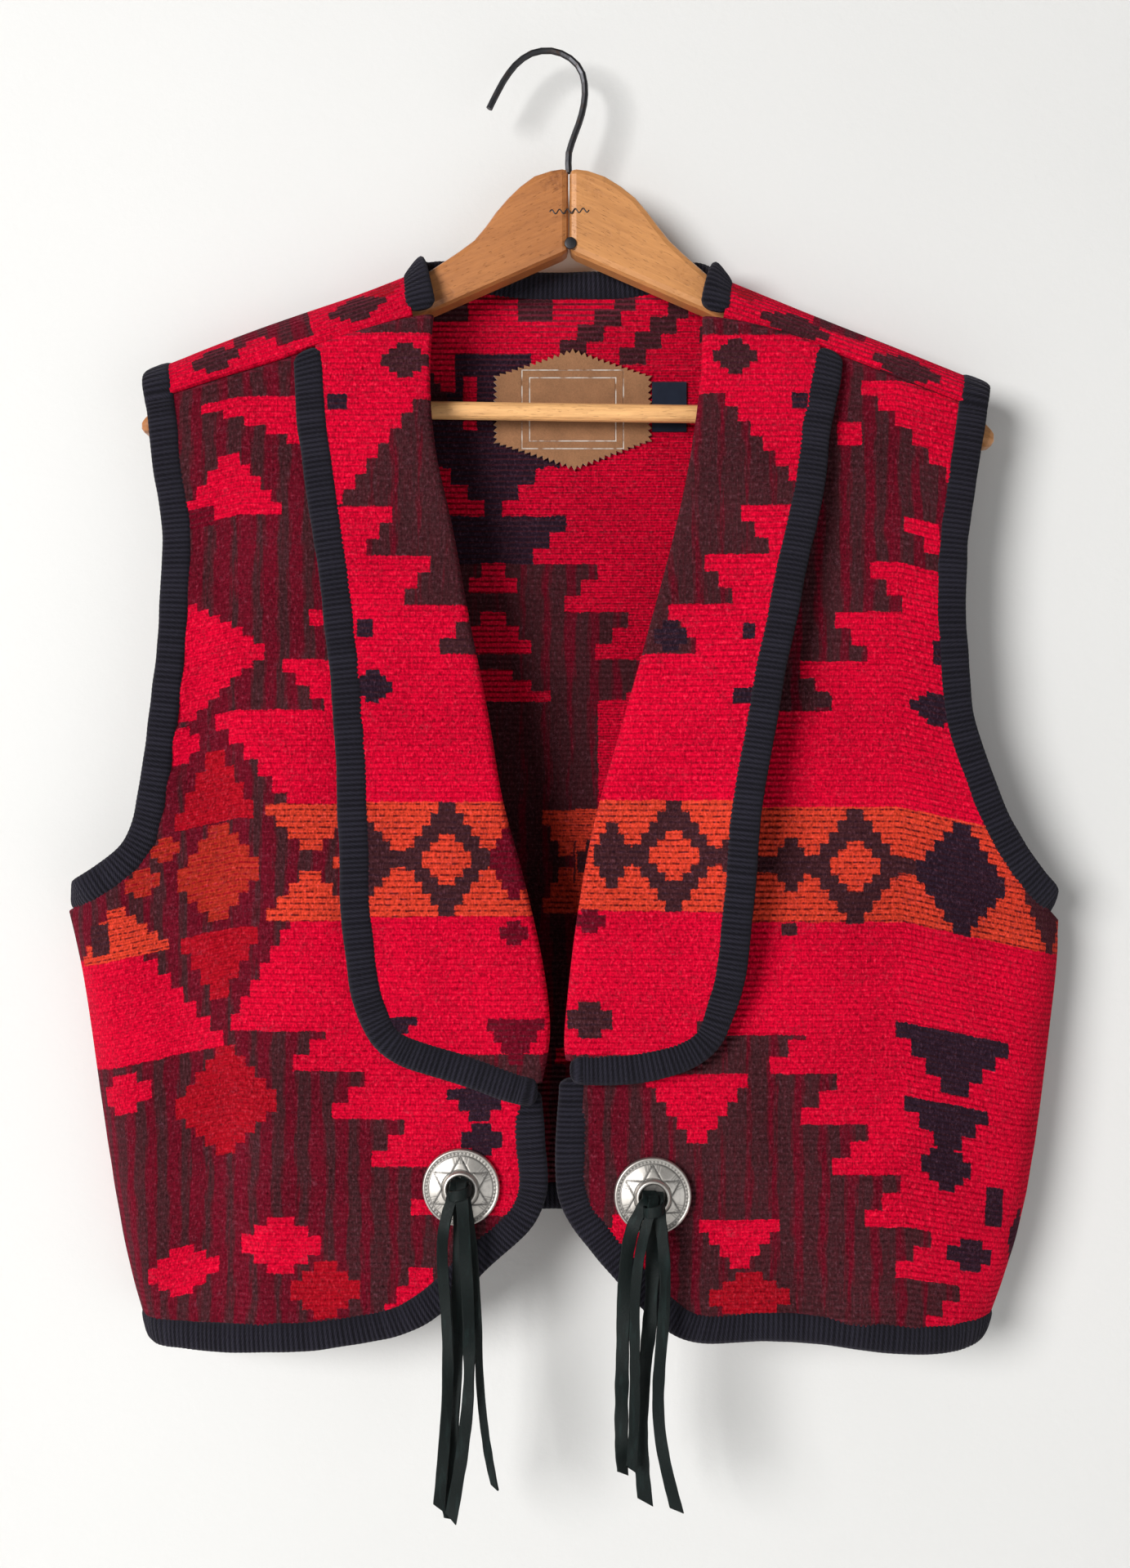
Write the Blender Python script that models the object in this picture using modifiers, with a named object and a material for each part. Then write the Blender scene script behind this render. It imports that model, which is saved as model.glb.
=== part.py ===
"""A western vest of brushed blanket wool on a two-piece wooden hanger.

Metres, +Z up. The vest hangs as it does on a wall: its fronts face -Y, its
back lies towards +Y, and the origin is where the hook rests, under the top
of its bend. Right and left are the wearer's, so right lies towards -X.
"""

import math

import bmesh
import bpy
import numpy as np
from mathutils import Vector

# Cloth and trim
CLOTH_THICKNESS = 0.0026
BINDING_WIDTH = 0.0120
BINDING_THICKNESS = 0.0046
SEAM_GAP = 0.0003
EDGE_GAP = 0.0006
CENTRE_X = 0.011

# How far the hung fronts and back stand from the hanger's plane, by height
FRONT_DEPTH = {
    "z": (-0.650, -0.520, -0.400, -0.250, -0.140),
    "depth": (0.036, 0.033, 0.028, 0.020, 0.015),
}
BACK_DEPTH = {"z": (-0.650, -0.450, -0.250, -0.110), "depth": (0.018, 0.018, 0.016, 0.016)}
SECTION_POWER = 3.0

# Outlines as (x, z). The cloth ends where its binding begins.
OUTLINE = {
    "right": {
        "fold": [
            (-0.058, -0.139), (-0.060, -0.169), (-0.057, -0.210), (-0.048, -0.245), (-0.041, -0.286),
            (-0.030, -0.339), (-0.023, -0.382), (-0.012, -0.422), (-0.001, -0.472), (0.003, -0.521),
        ],
        "edge": [(-0.014, -0.536), (-0.016, -0.545), (-0.011, -0.564), (-0.009, -0.574)],
        "hem": [
            (-0.009, -0.574), (-0.012, -0.585), (-0.022, -0.592), (-0.036, -0.601), (-0.049, -0.615),
            (-0.061, -0.632), (-0.072, -0.639), (-0.109, -0.641), (-0.153, -0.644), (-0.206, -0.645),
        ],
        "seam": [(-0.063, -0.139), (-0.100, -0.149), (-0.130, -0.160), (-0.160, -0.169), (-0.191, -0.179)],
        "ridge": [(-0.072, -0.1157), (-0.096, -0.1253), (-0.146, -0.1423), (-0.194, -0.1613)],
        "back_seam": [(-0.050, -0.1145), (-0.080, -0.128), (-0.110, -0.146), (-0.150, -0.166), (-0.193, -0.187)],
        "armhole": [
            (-0.191, -0.179), (-0.184, -0.228), (-0.181, -0.260), (-0.183, -0.300), (-0.187, -0.340),
            (-0.191, -0.370), (-0.194, -0.393), (-0.202, -0.411), (-0.215, -0.425), (-0.230, -0.433),
            (-0.244, -0.440),
        ],
        "lapel_edge": [
            (-0.116, -0.156), (-0.113, -0.192), (-0.105, -0.245), (-0.098, -0.292), (-0.093, -0.340),
            (-0.090, -0.400), (-0.088, -0.440), (-0.084, -0.476), (-0.078, -0.493),
        ],
        "lapel_foot": [(-0.078, -0.493), (-0.067, -0.504), (-0.042, -0.508), (-0.017, -0.516), (-0.003, -0.521)],
    },
    "left": {
        "fold": [
            (0.079, -0.140), (0.079, -0.162), (0.073, -0.210), (0.064, -0.252), (0.054, -0.289),
            (0.044, -0.325), (0.035, -0.356), (0.023, -0.399), (0.014, -0.452), (0.008, -0.510),
        ],
        "edge": [(0.018, -0.524), (0.017, -0.545), (0.016, -0.565), (0.016, -0.577)],
        "hem": [
            (0.016, -0.577), (0.020, -0.588), (0.033, -0.598), (0.043, -0.609), (0.060, -0.632),
            (0.069, -0.642), (0.078, -0.646), (0.114, -0.636), (0.168, -0.644), (0.226, -0.645),
        ],
        "seam": [(0.084, -0.140), (0.112, -0.146), (0.151, -0.160), (0.184, -0.173), (0.210, -0.183)],
        "ridge": [(0.093, -0.1186), (0.123, -0.1313), (0.174, -0.1515), (0.214, -0.1675)],
        "back_seam": [(0.072, -0.1145), (0.100, -0.131), (0.130, -0.149), (0.170, -0.169), (0.213, -0.190)],
        "armhole": [
            (0.210, -0.183), (0.206, -0.213), (0.200, -0.245), (0.198, -0.285), (0.199, -0.322),
            (0.204, -0.352), (0.212, -0.375), (0.221, -0.397), (0.232, -0.418), (0.246, -0.433),
            (0.261, -0.445),
        ],
        "lapel_edge": [
            (0.137, -0.156), (0.132, -0.186), (0.121, -0.247), (0.109, -0.296), (0.101, -0.340),
            (0.094, -0.375), (0.088, -0.431), (0.085, -0.466), (0.077, -0.495),
        ],
        "lapel_foot": [(0.077, -0.495), (0.067, -0.504), (0.044, -0.509), (0.028, -0.510), (0.010, -0.510)],
    },
}
BACK_NECK = [(-0.050, -0.1145), (-0.025, -0.1178), (0.011, -0.1190), (0.047, -0.1178), (0.072, -0.1145)]
BACK_HEM = [
    (-0.206, -0.645), (-0.150, -0.624), (-0.085, -0.600), (-0.030, -0.588), (0.011, -0.586),
    (0.050, -0.588), (0.105, -0.600), (0.170, -0.624), (0.226, -0.645),
]

# Where the vest's side folds lie, by height: above the armhole the section
# is shaped as if the side went on up
SIDE = {
    "right": {
        "z": (-0.645, -0.632, -0.590, -0.539, -0.489, -0.457, -0.440, -0.380, -0.300, -0.180, -0.110),
        "x": (-0.206, -0.211, -0.219, -0.227, -0.234, -0.239, -0.244, -0.254, -0.264, -0.272, -0.276),
    },
    "left": {
        "z": (-0.645, -0.620, -0.592, -0.551, -0.501, -0.468, -0.445, -0.380, -0.300, -0.183, -0.110),
        "x": (0.226, 0.235, 0.243, 0.250, 0.256, 0.260, 0.261, 0.270, 0.279, 0.288, 0.292),
    },
}

# Lapels: the roll's radius and the free edge's stand from the front, by height
ROLL = {
    "right": {"z": (-0.520, -0.250, -0.140), "radius": (0.0040, 0.0030, 0.0021)},
    "left": {"z": (-0.520, -0.250, -0.140), "radius": (0.0045, 0.0038, 0.0021)},
}
LIFT = {
    "right": {"z": (-0.510, -0.400, -0.250, -0.156), "rise": (0.0090, 0.0090, 0.0065, 0.0044)},
    "left": {
        "z": (-0.510, -0.480, -0.400, -0.300, -0.220, -0.156),
        "rise": (0.0110, 0.0150, 0.0200, 0.0170, 0.0110, 0.0044),
    },
}
ROLL_INSET = {"z": (-0.521, -0.500, -0.460), "inset": (0.0090, 0.0050, 0.0015)}

# Soft folds of the hanging cloth: panel, ends (x, z), half width, and how far
# the cloth comes forward (or, below zero, goes back)
FOLDS = [
    {"panel": "front", "top": (-0.192, -0.385), "bottom": (-0.168, -0.600), "half_width": 0.020, "rise": -0.0055},
    {"panel": "front", "top": (-0.155, -0.380), "bottom": (-0.128, -0.640), "half_width": 0.024, "rise": 0.0045},
    {"panel": "front", "top": (-0.088, -0.590), "bottom": (-0.090, -0.660), "half_width": 0.020, "rise": -0.0050},
    {"panel": "front", "top": (0.222, -0.400), "bottom": (0.170, -0.560), "half_width": 0.022, "rise": -0.0040},
    {"panel": "front", "top": (0.165, -0.520), "bottom": (0.178, -0.660), "half_width": 0.026, "rise": 0.0055},
    {"panel": "front", "top": (0.118, -0.560), "bottom": (0.114, -0.660), "half_width": 0.022, "rise": -0.0060},
    {"panel": "back", "top": (-0.150, -0.330), "bottom": (-0.120, -0.650), "half_width": 0.030, "rise": -0.0040},
    {"panel": "back", "top": (0.060, -0.380), "bottom": (0.070, -0.640), "half_width": 0.034, "rise": 0.0035},
    {"panel": "back", "top": (0.180, -0.340), "bottom": (0.150, -0.640), "half_width": 0.030, "rise": -0.0040},
]

# Rows down each panel, and the places of its columns across it
ARMHOLE_PLACES = (0.0, 0.08, 0.16, 0.25, 0.34, 0.43, 0.52, 0.61, 0.69, 0.76, 0.82, 0.87, 0.915, 0.955, 1.0)
SIDE_ROWS = 8
INNER_SPLIT = 0.66
SEAM_COLUMNS = (0.0, 0.08, 0.20, 0.34, 0.49, 0.63, 0.76, 0.86, 0.93, 0.97, 1.0)
BACK_NECK_COLUMNS = 6
BACK_SEAM_SHARE = 0.36
SIDE_FLAT = 0.004
ROW_SAG = {"front": 0.010, "back": 0.020}
ROW_SAG_WIDTH = 0.030
LAPEL_COLUMNS = (0.0, 0.3, 0.6, 0.9, 1.0)
LAPEL_FOOT_ROW = 0.006
ROLL_STEPS = 4
CORNER_ROWS = 4
CORNER_GAP = 0.0016
UNDERARM_GAP = 0.0035
YOKE_STEPS = 4
YOKE_POWER = 2.4
YOKE_PROUD = 0.0018
YOKE_START = 0.035

# Neck binding: how far it leans up from the shoulders, and how far its ends
# stop above the lapels
NECK_FLARE = math.radians(32.0)
NECK_END = 0.0030

# Hanger
HANGER_THICKNESS = 0.016
HANGER_BEVEL = 0.0035
ARM = {
    "right": {
        "top": [
            (0.0107, -0.0605), (0.002, -0.0618), (-0.009, -0.0660), (-0.023, -0.0790), (-0.036, -0.0960),
            (-0.048, -0.1050), (-0.0597, -0.1128), (-0.2037, -0.1863),
        ],
        "tip": [(-0.2080, -0.1905), (-0.2065, -0.1968)],
        "bottom": [(-0.2020, -0.1953), (-0.0600, -0.1344), (0.0107, -0.1035)],
    },
    "left": {
        "top": [
            (0.0113, -0.0605), (0.020, -0.0615), (0.031, -0.0655), (0.0455, -0.0760), (0.0558, -0.0890),
            (0.063, -0.0980), (0.071, -0.1055), (0.0836, -0.1166), (0.2243, -0.1914),
        ],
        "tip": [(0.2290, -0.1960), (0.2275, -0.2036)],
        "bottom": [(0.2230, -0.2026), (0.0800, -0.1335), (0.0113, -0.1035)],
    },
}
BAR_RADIUS = 0.0046
BAR_ENDS = {"right": (-0.150, -0.1817), "left": (0.180, -0.1865)}
HOOK_RADIUS = 0.0017
HOOK_ROUTE = [
    (0.0110, -0.0611), (0.0108, -0.0520), (0.0130, -0.0440), (0.0160, -0.0360), (0.0185, -0.0270),
    (0.0193, -0.0180), (0.0178, -0.0095), (0.0135, -0.0035), (0.0070, 0.0005), (0.0000, 0.0019),
    (-0.0080, 0.0005), (-0.0155, -0.0045), (-0.0215, -0.0120), (-0.0260, -0.0200), (-0.0300, -0.0280),
]

# Label patch and woven tab, sewn inside the back
PATCH_OUTLINE = [(0.013, -0.148), (-0.028, -0.162), (-0.028, -0.197), (0.014, -0.211), (0.054, -0.196), (0.054, -0.162)]
PATCH_THICKNESS = 0.0016
TAB_OUTLINE = [(0.0545, -0.165), (0.0545, -0.191), (0.0725, -0.191), (0.0725, -0.165)]
TAB_THICKNESS = 0.0010

# Conchos: a turned profile of (radius, height), and where each is sewn
CONCHO_CENTRE = {"right": (-0.042, -0.573), "left": (0.052, -0.577)}
CONCHO_PROFILE = [
    (0.0, 0.0), (0.0186, 0.0), (0.0190, 0.0012), (0.0180, 0.0024), (0.0165, 0.0022),
    (0.0100, 0.0042), (0.0080, 0.0060), (0.0068, 0.0058), (0.0060, 0.0036), (0.0, 0.0034),
]
CONCHO_SIDES = 24

# Tassels: each thong's width and its way down, as (x, z); they hang one
# behind another
THONG_THICKNESS = 0.0011
THONG_PITCH = 0.0023
KNOT_RADIUS = 0.0042
THONGS = {
    "right": [
        {"width": 0.0060, "route": [(-0.042, -0.570), (-0.042, -0.606), (-0.044, -0.645), (-0.045, -0.690),
                                    (-0.049, -0.714), (-0.047, -0.733)]},
        {"width": 0.0034, "route": [(-0.040, -0.570), (-0.036, -0.592), (-0.033, -0.630), (-0.033, -0.663),
                                    (-0.029, -0.698), (-0.025, -0.717)]},
        {"width": 0.0046, "route": [(-0.044, -0.571), (-0.050, -0.588), (-0.051, -0.606), (-0.047, -0.640),
                                    (-0.048, -0.680), (-0.052, -0.726)]},
        {"width": 0.0050, "route": [(-0.041, -0.571), (-0.039, -0.600), (-0.037, -0.640), (-0.037, -0.670),
                                    (-0.041, -0.702), (-0.046, -0.730)]},
    ],
    "left": [
        {"width": 0.0066, "route": [(0.052, -0.578), (0.052, -0.600), (0.051, -0.635), (0.047, -0.662),
                                    (0.045, -0.695), (0.048, -0.725)]},
        {"width": 0.0060, "route": [(0.050, -0.577), (0.041, -0.588), (0.0375, -0.612), (0.037, -0.650),
                                    (0.036, -0.688), (0.037, -0.710)]},
        {"width": 0.0050, "route": [(0.054, -0.577), (0.057, -0.600), (0.058, -0.625), (0.053, -0.668),
                                    (0.055, -0.696), (0.063, -0.727)]},
        {"width": 0.0044, "route": [(0.052, -0.578), (0.046, -0.594), (0.042, -0.620), (0.043, -0.660),
                                    (0.042, -0.690), (0.041, -0.706)]},
    ],
}

# Finishes: colour, roughness and metallic value
FINISH = {
    "wool": ((0.42, 0.012, 0.030), 0.95, 0.0),
    "binding": ((0.012, 0.013, 0.020), 0.90, 0.0),
    "suede": ((0.36, 0.21, 0.11), 0.90, 0.0),
    "tab": ((0.015, 0.022, 0.040), 0.70, 0.0),
    "silver": ((0.50, 0.49, 0.47), 0.35, 1.0),
    "thong": ((0.008, 0.016, 0.014), 0.60, 0.0),
    "hanger_wood": ((0.55, 0.27, 0.09), 0.55, 0.0),
    "bar_wood": ((0.68, 0.42, 0.19), 0.50, 0.0),
    "steel": ((0.10, 0.10, 0.11), 0.40, 1.0),
}


def finish_of(node, kind):
    """The node's own material, of one of the named finishes."""
    colour, roughness, metallic = FINISH[kind]
    material = bpy.data.materials.new(node)
    material.use_nodes = True
    shader = material.node_tree.nodes["Principled BSDF"]
    shader.inputs["Base Color"].default_value = (*colour, 1.0)
    shader.inputs["Roughness"].default_value = roughness
    shader.inputs["Metallic"].default_value = metallic
    return material


def add_object(node, mesh, kind, smooth=True):
    """An object of the vest from its mesh, with its own material."""
    if smooth:
        mesh.shade_smooth()
        mesh.set_sharp_from_angle(angle=math.radians(40.0))
    mesh.materials.append(finish_of(node, kind))
    made = bpy.data.objects.new(node, mesh)
    bpy.data.collections["western_vest"].objects.link(made)
    return made


def smooth_line(points, steps=12):
    """Many points along a smooth curve through the given ones."""
    given = np.array(points, dtype=float)
    padded = np.vstack([2 * given[0] - given[1], given, 2 * given[-1] - given[-2]])
    line = []
    for index in range(len(given) - 1):
        before, start, end, after = padded[index:index + 4]
        for step in range(steps):
            t = step / steps
            line.append(
                0.5 * (2 * start + (end - before) * t
                       + (2 * before - 5 * start + 4 * end - after) * t ** 2
                       + (3 * start - before - 3 * end + after) * t ** 3)
            )
    line.append(given[-1])
    return np.array(line)


def along(points, fractions):
    """The points at the given fractions of a smooth curve's length."""
    line = smooth_line(points)
    lengths = np.concatenate([[0.0], np.cumsum(np.linalg.norm(np.diff(line, axis=0), axis=1))])
    wanted = np.array(fractions) * lengths[-1]
    return np.stack([np.interp(wanted, lengths, line[:, axis]) for axis in range(line.shape[1])], axis=1)


def evenly(count):
    return np.linspace(0.0, 1.0, count)


def side_x(side, z):
    return np.interp(z, SIDE[side]["z"], SIDE[side]["x"])


# How quickly a fold grows below its top, dies past its foot and fades to the side
FOLD_START_RATE = 2.5
FOLD_END_RATE = 4.0
FOLD_SIDE_RATE = 1.6


def fold_rise(panel, x, z):
    """How far the soft folds bring a point of a panel forward."""
    rise = 0.0
    for fold in FOLDS:
        if fold["panel"] != panel:
            continue
        top, bottom = np.array(fold["top"]), np.array(fold["bottom"])
        way = bottom - top
        place = np.dot(np.array([x, z]) - top, way) / np.dot(way, way)
        aside = np.linalg.norm(np.array([x, z]) - top - place * way) / fold["half_width"]
        if place < 1.0:
            fade = min(max(place, 0.0) * FOLD_START_RATE, 1.0)
        else:
            fade = max(0.0, 1.0 - (place - 1.0) * FOLD_END_RATE)
        rise += fold["rise"] * math.exp(-aside ** 2) * fade
    return rise


def section(x, z):
    """1 over the middle of the vest, falling round to 0 at its side folds."""
    side = "right" if x < CENTRE_X else "left"
    across = min(abs(x - CENTRE_X) / abs(side_x(side, z) - CENTRE_X), 1.0)
    return (1.0 - across ** SECTION_POWER) ** (1.0 / SECTION_POWER)


def front_y(x, z):
    share = section(x, z)
    depth = np.interp(z, FRONT_DEPTH["z"], FRONT_DEPTH["depth"])
    return -depth * share - fold_rise("front", x, z) * min(1.0, FOLD_SIDE_RATE * share) * (share > 0.0)


def back_y(x, z):
    share = section(x, z)
    depth = np.interp(z, BACK_DEPTH["z"], BACK_DEPTH["depth"])
    return depth * share - fold_rise("back", x, z) * min(1.0, FOLD_SIDE_RATE * share) * (share > 0.0)


def progress(line):
    """How far along a line each of its points lies, from 0 to 1."""
    lengths = np.concatenate([[0.0], np.cumsum(np.linalg.norm(np.diff(line, axis=0), axis=1))])
    return lengths / lengths[-1]


def patch(top, bottom, start, end):
    """The flat (x, z) points between four edges, rows first."""
    start, end = start.copy(), end.copy()
    start[0], end[0], start[-1], end[-1] = top[0], top[-1], bottom[0], bottom[-1]
    down = ((progress(start) + progress(end)) / 2)[:, None, None]
    across = ((progress(top) + progress(bottom)) / 2)[None, :, None]
    ruled_down = (1 - down) * top[None] + down * bottom[None]
    ruled_across = (1 - across) * start[:, None] + across * end[:, None]
    corners = ((1 - down) * ((1 - across) * top[0] + across * top[-1])
               + down * ((1 - across) * bottom[0] + across * bottom[-1]))
    return ruled_down + ruled_across - corners


def sagged(flat, sag, edges):
    """The points with their rows let down beside the underarm.

    The rows then meet the armhole's level foot at an open angle.
    """
    last = len(ARMHOLE_PLACES) - 1
    share = np.interp(np.arange(len(flat)), (0, last, len(flat) - 1), (0.0, 1.0, 0.0))[:, None]
    aside = np.min([np.abs(flat[:, :, 0] - flat[:, [edge], 0]) for edge in edges], axis=0)
    flat = flat.copy()
    flat[:, :, 1] -= sag * share * np.minimum(aside / ROW_SAG_WIDTH, 1.0)
    return flat


def to_space(flat, depth):
    """Points (x, z) laid on a depth (a function of x and z)."""
    return np.array([[(x, depth(x, z), z) for x, z in row] for row in flat])


def cloth(node, grid, kind="wool", thickness=CLOTH_THICKNESS):
    """A wall of cloth on both sides of a grid of points."""
    rows, columns = grid.shape[:2]
    points = [tuple(point) for row in grid for point in row]
    faces = [
        (i * columns + j, i * columns + j + 1, (i + 1) * columns + j + 1, (i + 1) * columns + j)
        for i in range(rows - 1) for j in range(columns - 1)
    ]
    mesh = bpy.data.meshes.new(node)
    mesh.from_pydata(points, [], faces)
    mesh.update()
    made = add_object(node, mesh, kind)
    wall = made.modifiers.new("wall", "SOLIDIFY")
    wall.thickness = thickness
    wall.offset = 0.0
    return made


def bar(node, rings, kind):
    """A closed bar through rings of points."""
    count = len(rings[0])
    points = [tuple(point) for ring in rings for point in ring]
    faces = [
        (i * count + j, i * count + (j + 1) % count, (i + 1) * count + (j + 1) % count, (i + 1) * count + j)
        for i in range(len(rings) - 1) for j in range(count)
    ]
    faces.append(tuple(range(count))[::-1])
    faces.append(tuple(range(len(points) - count, len(points))))
    mesh = bpy.data.meshes.new(node)
    mesh.from_pydata(points, [], faces)
    outward(mesh)
    return add_object(node, mesh, kind)


def outward(mesh):
    """Turns all the faces of a closed mesh outwards."""
    form = bmesh.new()
    form.from_mesh(mesh)
    bmesh.ops.recalc_face_normals(form, faces=form.faces)
    form.to_mesh(mesh)
    form.free()
    mesh.update()


def unit(vector):
    return vector / np.linalg.norm(vector)


def grid_normals(grid):
    """A unit normal at each point of a grid, all to one side."""
    normals = np.cross(np.gradient(grid, axis=0), np.gradient(grid, axis=1))
    return normals / np.linalg.norm(normals, axis=2, keepdims=True)


def edge_of(grid, cells):
    """The (point, normal, point inside the cloth) of each edge cell of a grid.

    A cell is (row, column, row inside, column inside).
    """
    normals = grid_normals(grid)
    return [(grid[i, j], normals[i, j], grid[k, m]) for i, j, k, m in cells]


def squared(edge):
    """Edge places on a side fold, whose cloth there faces straight sideways."""
    return [(point, unit(normal * np.array([1.0, 0.0, 1.0])), inside) for point, normal, inside in edge]


def binding(node, edge, ends=(None, None), lean=None, gaps=None, trim=0.0):
    """A rounded band along a cloth edge, on the side away from the cloth.

    edge holds (point, normal, point inside) for each of its places. ends may
    give the band's direction at its first and last points, lean how far it
    is turned upwards out of the cloth's plane at each point, and gaps how
    far from the cloth it starts.
    """
    tangents = np.gradient(np.array([place[0] for place in edge]), axis=0)
    for index, given in ((0, ends[0]), (-1, ends[1])):
        if given is not None:
            tangents[index] = given
    half = BINDING_THICKNESS / 2
    rings = []
    for index, (point, normal, inside) in enumerate(edge):
        tangent = unit(tangents[index])
        out = unit(np.cross(tangent, normal))
        if np.dot(out, point - inside) < 0:
            out = -out
        normal = np.cross(tangent, out)
        gap = SEAM_GAP if gaps is None else gaps[index]
        if lean is not None:
            up = normal if normal[2] > 0 else -normal
            gap += half * abs(math.sin(lean[index]))
            out = math.cos(lean[index]) * out + math.sin(lean[index]) * up
            normal = np.cross(tangent, out)
        if index in (0, len(edge) - 1):
            point = point + tangent * (trim if index == 0 else -trim)
        near = point + out * gap
        far = near + out * BINDING_WIDTH
        shoulder = far - out * half
        rings.append([
            near - normal * half, shoulder - normal * half, far - normal * half * 0.4,
            far + normal * half * 0.4, shoulder + normal * half, near + normal * half,
        ])
    return bar(node, rings, "binding")


def outer_edge(side, armhole):
    """The armhole's edge, then the side fold down to the hem."""
    outline = OUTLINE[side]
    heights = np.linspace(armhole[-1][1], outline["hem"][-1][1], SIDE_ROWS + 1)[1:]
    below = [(side_x(side, z), z) for z in heights]
    return np.vstack([along(armhole, ARMHOLE_PLACES), below])


def roll_of(side, z):
    """The lapel roll's radius, and how far behind it the front's edge lies."""
    return np.interp(z, ROLL[side]["z"], ROLL[side]["radius"]), np.interp(z, ROLL_INSET["z"], ROLL_INSET["inset"])


def fold_line(side):
    """The front's opening edge, behind the roll of the lapel."""
    inward = -1.0 if side == "right" else 1.0
    return [(x + inward * sum(roll_of(side, z)), z) for x, z in OUTLINE[side]["fold"]]


def front_grid(side):
    outline = OUTLINE[side]
    inner = fold_line(side) + outline["edge"]
    upper = [place * INNER_SPLIT for place in ARMHOLE_PLACES]
    lower = [INNER_SPLIT + (1.0 - INNER_SPLIT) * (row + 1) / SIDE_ROWS for row in range(SIDE_ROWS)]
    flat = patch(
        along(outline["seam"], SEAM_COLUMNS) - np.array([0.0, EDGE_GAP]),
        along(outline["hem"], SEAM_COLUMNS),
        along(inner, upper + lower),
        outer_edge(side, outline["armhole"]),
    )
    flat = sagged(flat, ROW_SAG["front"], edges=(0, -1))
    return with_side_flat(to_space(flat, front_y), -1.0)


def with_side_flat(grid, facing):
    """Ends the rows below the armhole square on to the side fold."""
    grid = grid.copy()
    near = grid[:, -1] - (grid[:, -1] - grid[:, -2]) * 0.25
    for row in range(len(ARMHOLE_PLACES) - 1, len(grid)):
        corner = row == len(ARMHOLE_PLACES) - 1
        near[row] = grid[row, -1]
        near[row] += (0.0, facing * SIDE_FLAT - near[row][1], -CORNER_GAP if corner else 0.0)
        grid[row, -1][1] = facing * (CORNER_GAP if corner else SEAM_GAP) / 2
    return np.concatenate([grid[:, :-1], near[:, None], grid[:, -1:]], axis=1)


def back_grid():
    right, left = OUTLINE["right"], OUTLINE["left"]
    share = BACK_SEAM_SHARE
    neck = evenly(BACK_NECK_COLUMNS)[1:-1]
    top = np.vstack([
        along(right["back_seam"], SEAM_COLUMNS)[::-1],
        along(BACK_NECK, neck),
        along(left["back_seam"], SEAM_COLUMNS),
    ])
    places = [(1.0 - place) * share for place in SEAM_COLUMNS[::-1]]
    places += [share + (1.0 - 2 * share) * place for place in neck]
    places += [1.0 - (1.0 - place) * share for place in SEAM_COLUMNS]
    edges = [outer_edge(side, [OUTLINE[side]["back_seam"][-1]] + OUTLINE[side]["armhole"][1:])
             for side in ("right", "left")]
    flat = patch(top - np.array([0.0, EDGE_GAP]), along(BACK_HEM, places), *edges)
    flat = sagged(flat, ROW_SAG["back"], edges=(0, -1))
    grid = with_side_flat(to_space(flat, back_y), 1.0)
    return with_side_flat(grid[:, ::-1], 1.0)[:, ::-1]


def lapel_grid(side, front):
    """A lapel: from the front's opening edge, round the roll, to its free edge."""
    outline = OUTLINE[side]
    away = 1.0 if side == "right" else -1.0
    foot = outline["fold"][-1][1]
    heights = np.array([z for z in front[:, 0, 2] if z > foot + LAPEL_FOOT_ROW] + [foot])
    fold = smooth_line(outline["fold"])
    fold = np.stack([np.interp(-heights, -fold[:, 1], fold[:, 0]), heights], axis=1)
    edge = along(outline["lapel_edge"], progress(fold))
    top = np.array([fold[0] + (edge[0] - fold[0]) * place for place in LAPEL_COLUMNS])
    top[:, 1] = np.interp(-away * top[:, 0], -away * front[0, :, 0], front[0, :, 2])
    fold[0], edge[0] = top[0], top[-1]
    flat = patch(top, along(outline["lapel_foot"][::-1], LAPEL_COLUMNS), fold, edge)
    grid = []
    for row in flat:
        fold_x, z = row[0]
        radius = roll_of(side, z)[0]
        centre_x = fold_x - away * radius
        base = front_y(centre_x, z)
        start = np.interp(-z, -front[:, 0, 2], front[:, 0, 0]) + away * EDGE_GAP
        points = [(start, base, z)]
        for step in range(ROLL_STEPS + 1):
            turn = math.pi * step / ROLL_STEPS
            points.append((centre_x + away * radius * math.sin(turn), base - radius + radius * math.cos(turn), z))
        lift = np.interp(z, LIFT[side]["z"], LIFT[side]["rise"])
        for place, (x, height) in zip(LAPEL_COLUMNS[1:], row[1:]):
            x = x - away * radius * (1.0 - place)
            stand = 2 * radius + (lift - 2 * radius) * place ** 1.3
            points.append((x, front_y(x, height) - stand, height))
        grid.append(points)
    return np.array(grid)


def yoke_grid(side):
    """A shoulder yoke: an arch over the hanger's arm, from front to back seam."""
    outline = OUTLINE[side]
    seam = along(outline["seam"], (YOKE_START,) + SEAM_COLUMNS[1:])
    ridge = along(outline["ridge"], SEAM_COLUMNS)
    back = along(outline["back_seam"], SEAM_COLUMNS)
    columns = []
    for low_front, top, low_back in zip(seam, ridge, back):
        ring = []
        front_depth = front_y(*low_front) - YOKE_PROUD
        back_depth = back_y(*low_back)
        for step in range(YOKE_STEPS + 1):
            turn = math.pi / 2 * step / YOKE_STEPS
            a, b = math.cos(turn) ** (2 / YOKE_POWER), math.sin(turn) ** (2 / YOKE_POWER)
            x, z = low_front + (top - low_front) * b
            ring.append((x, front_depth * a, z))
        for step in range(1, YOKE_STEPS + 1):
            turn = math.pi / 2 * (1 - step / YOKE_STEPS)
            a, b = math.cos(turn) ** (2 / YOKE_POWER), math.sin(turn) ** (2 / YOKE_POWER)
            x, z = low_back + (top - low_back) * b
            ring.append((x, back_depth * a, z))
        columns.append(ring)
    return np.array(columns).transpose(1, 0, 2)


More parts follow.
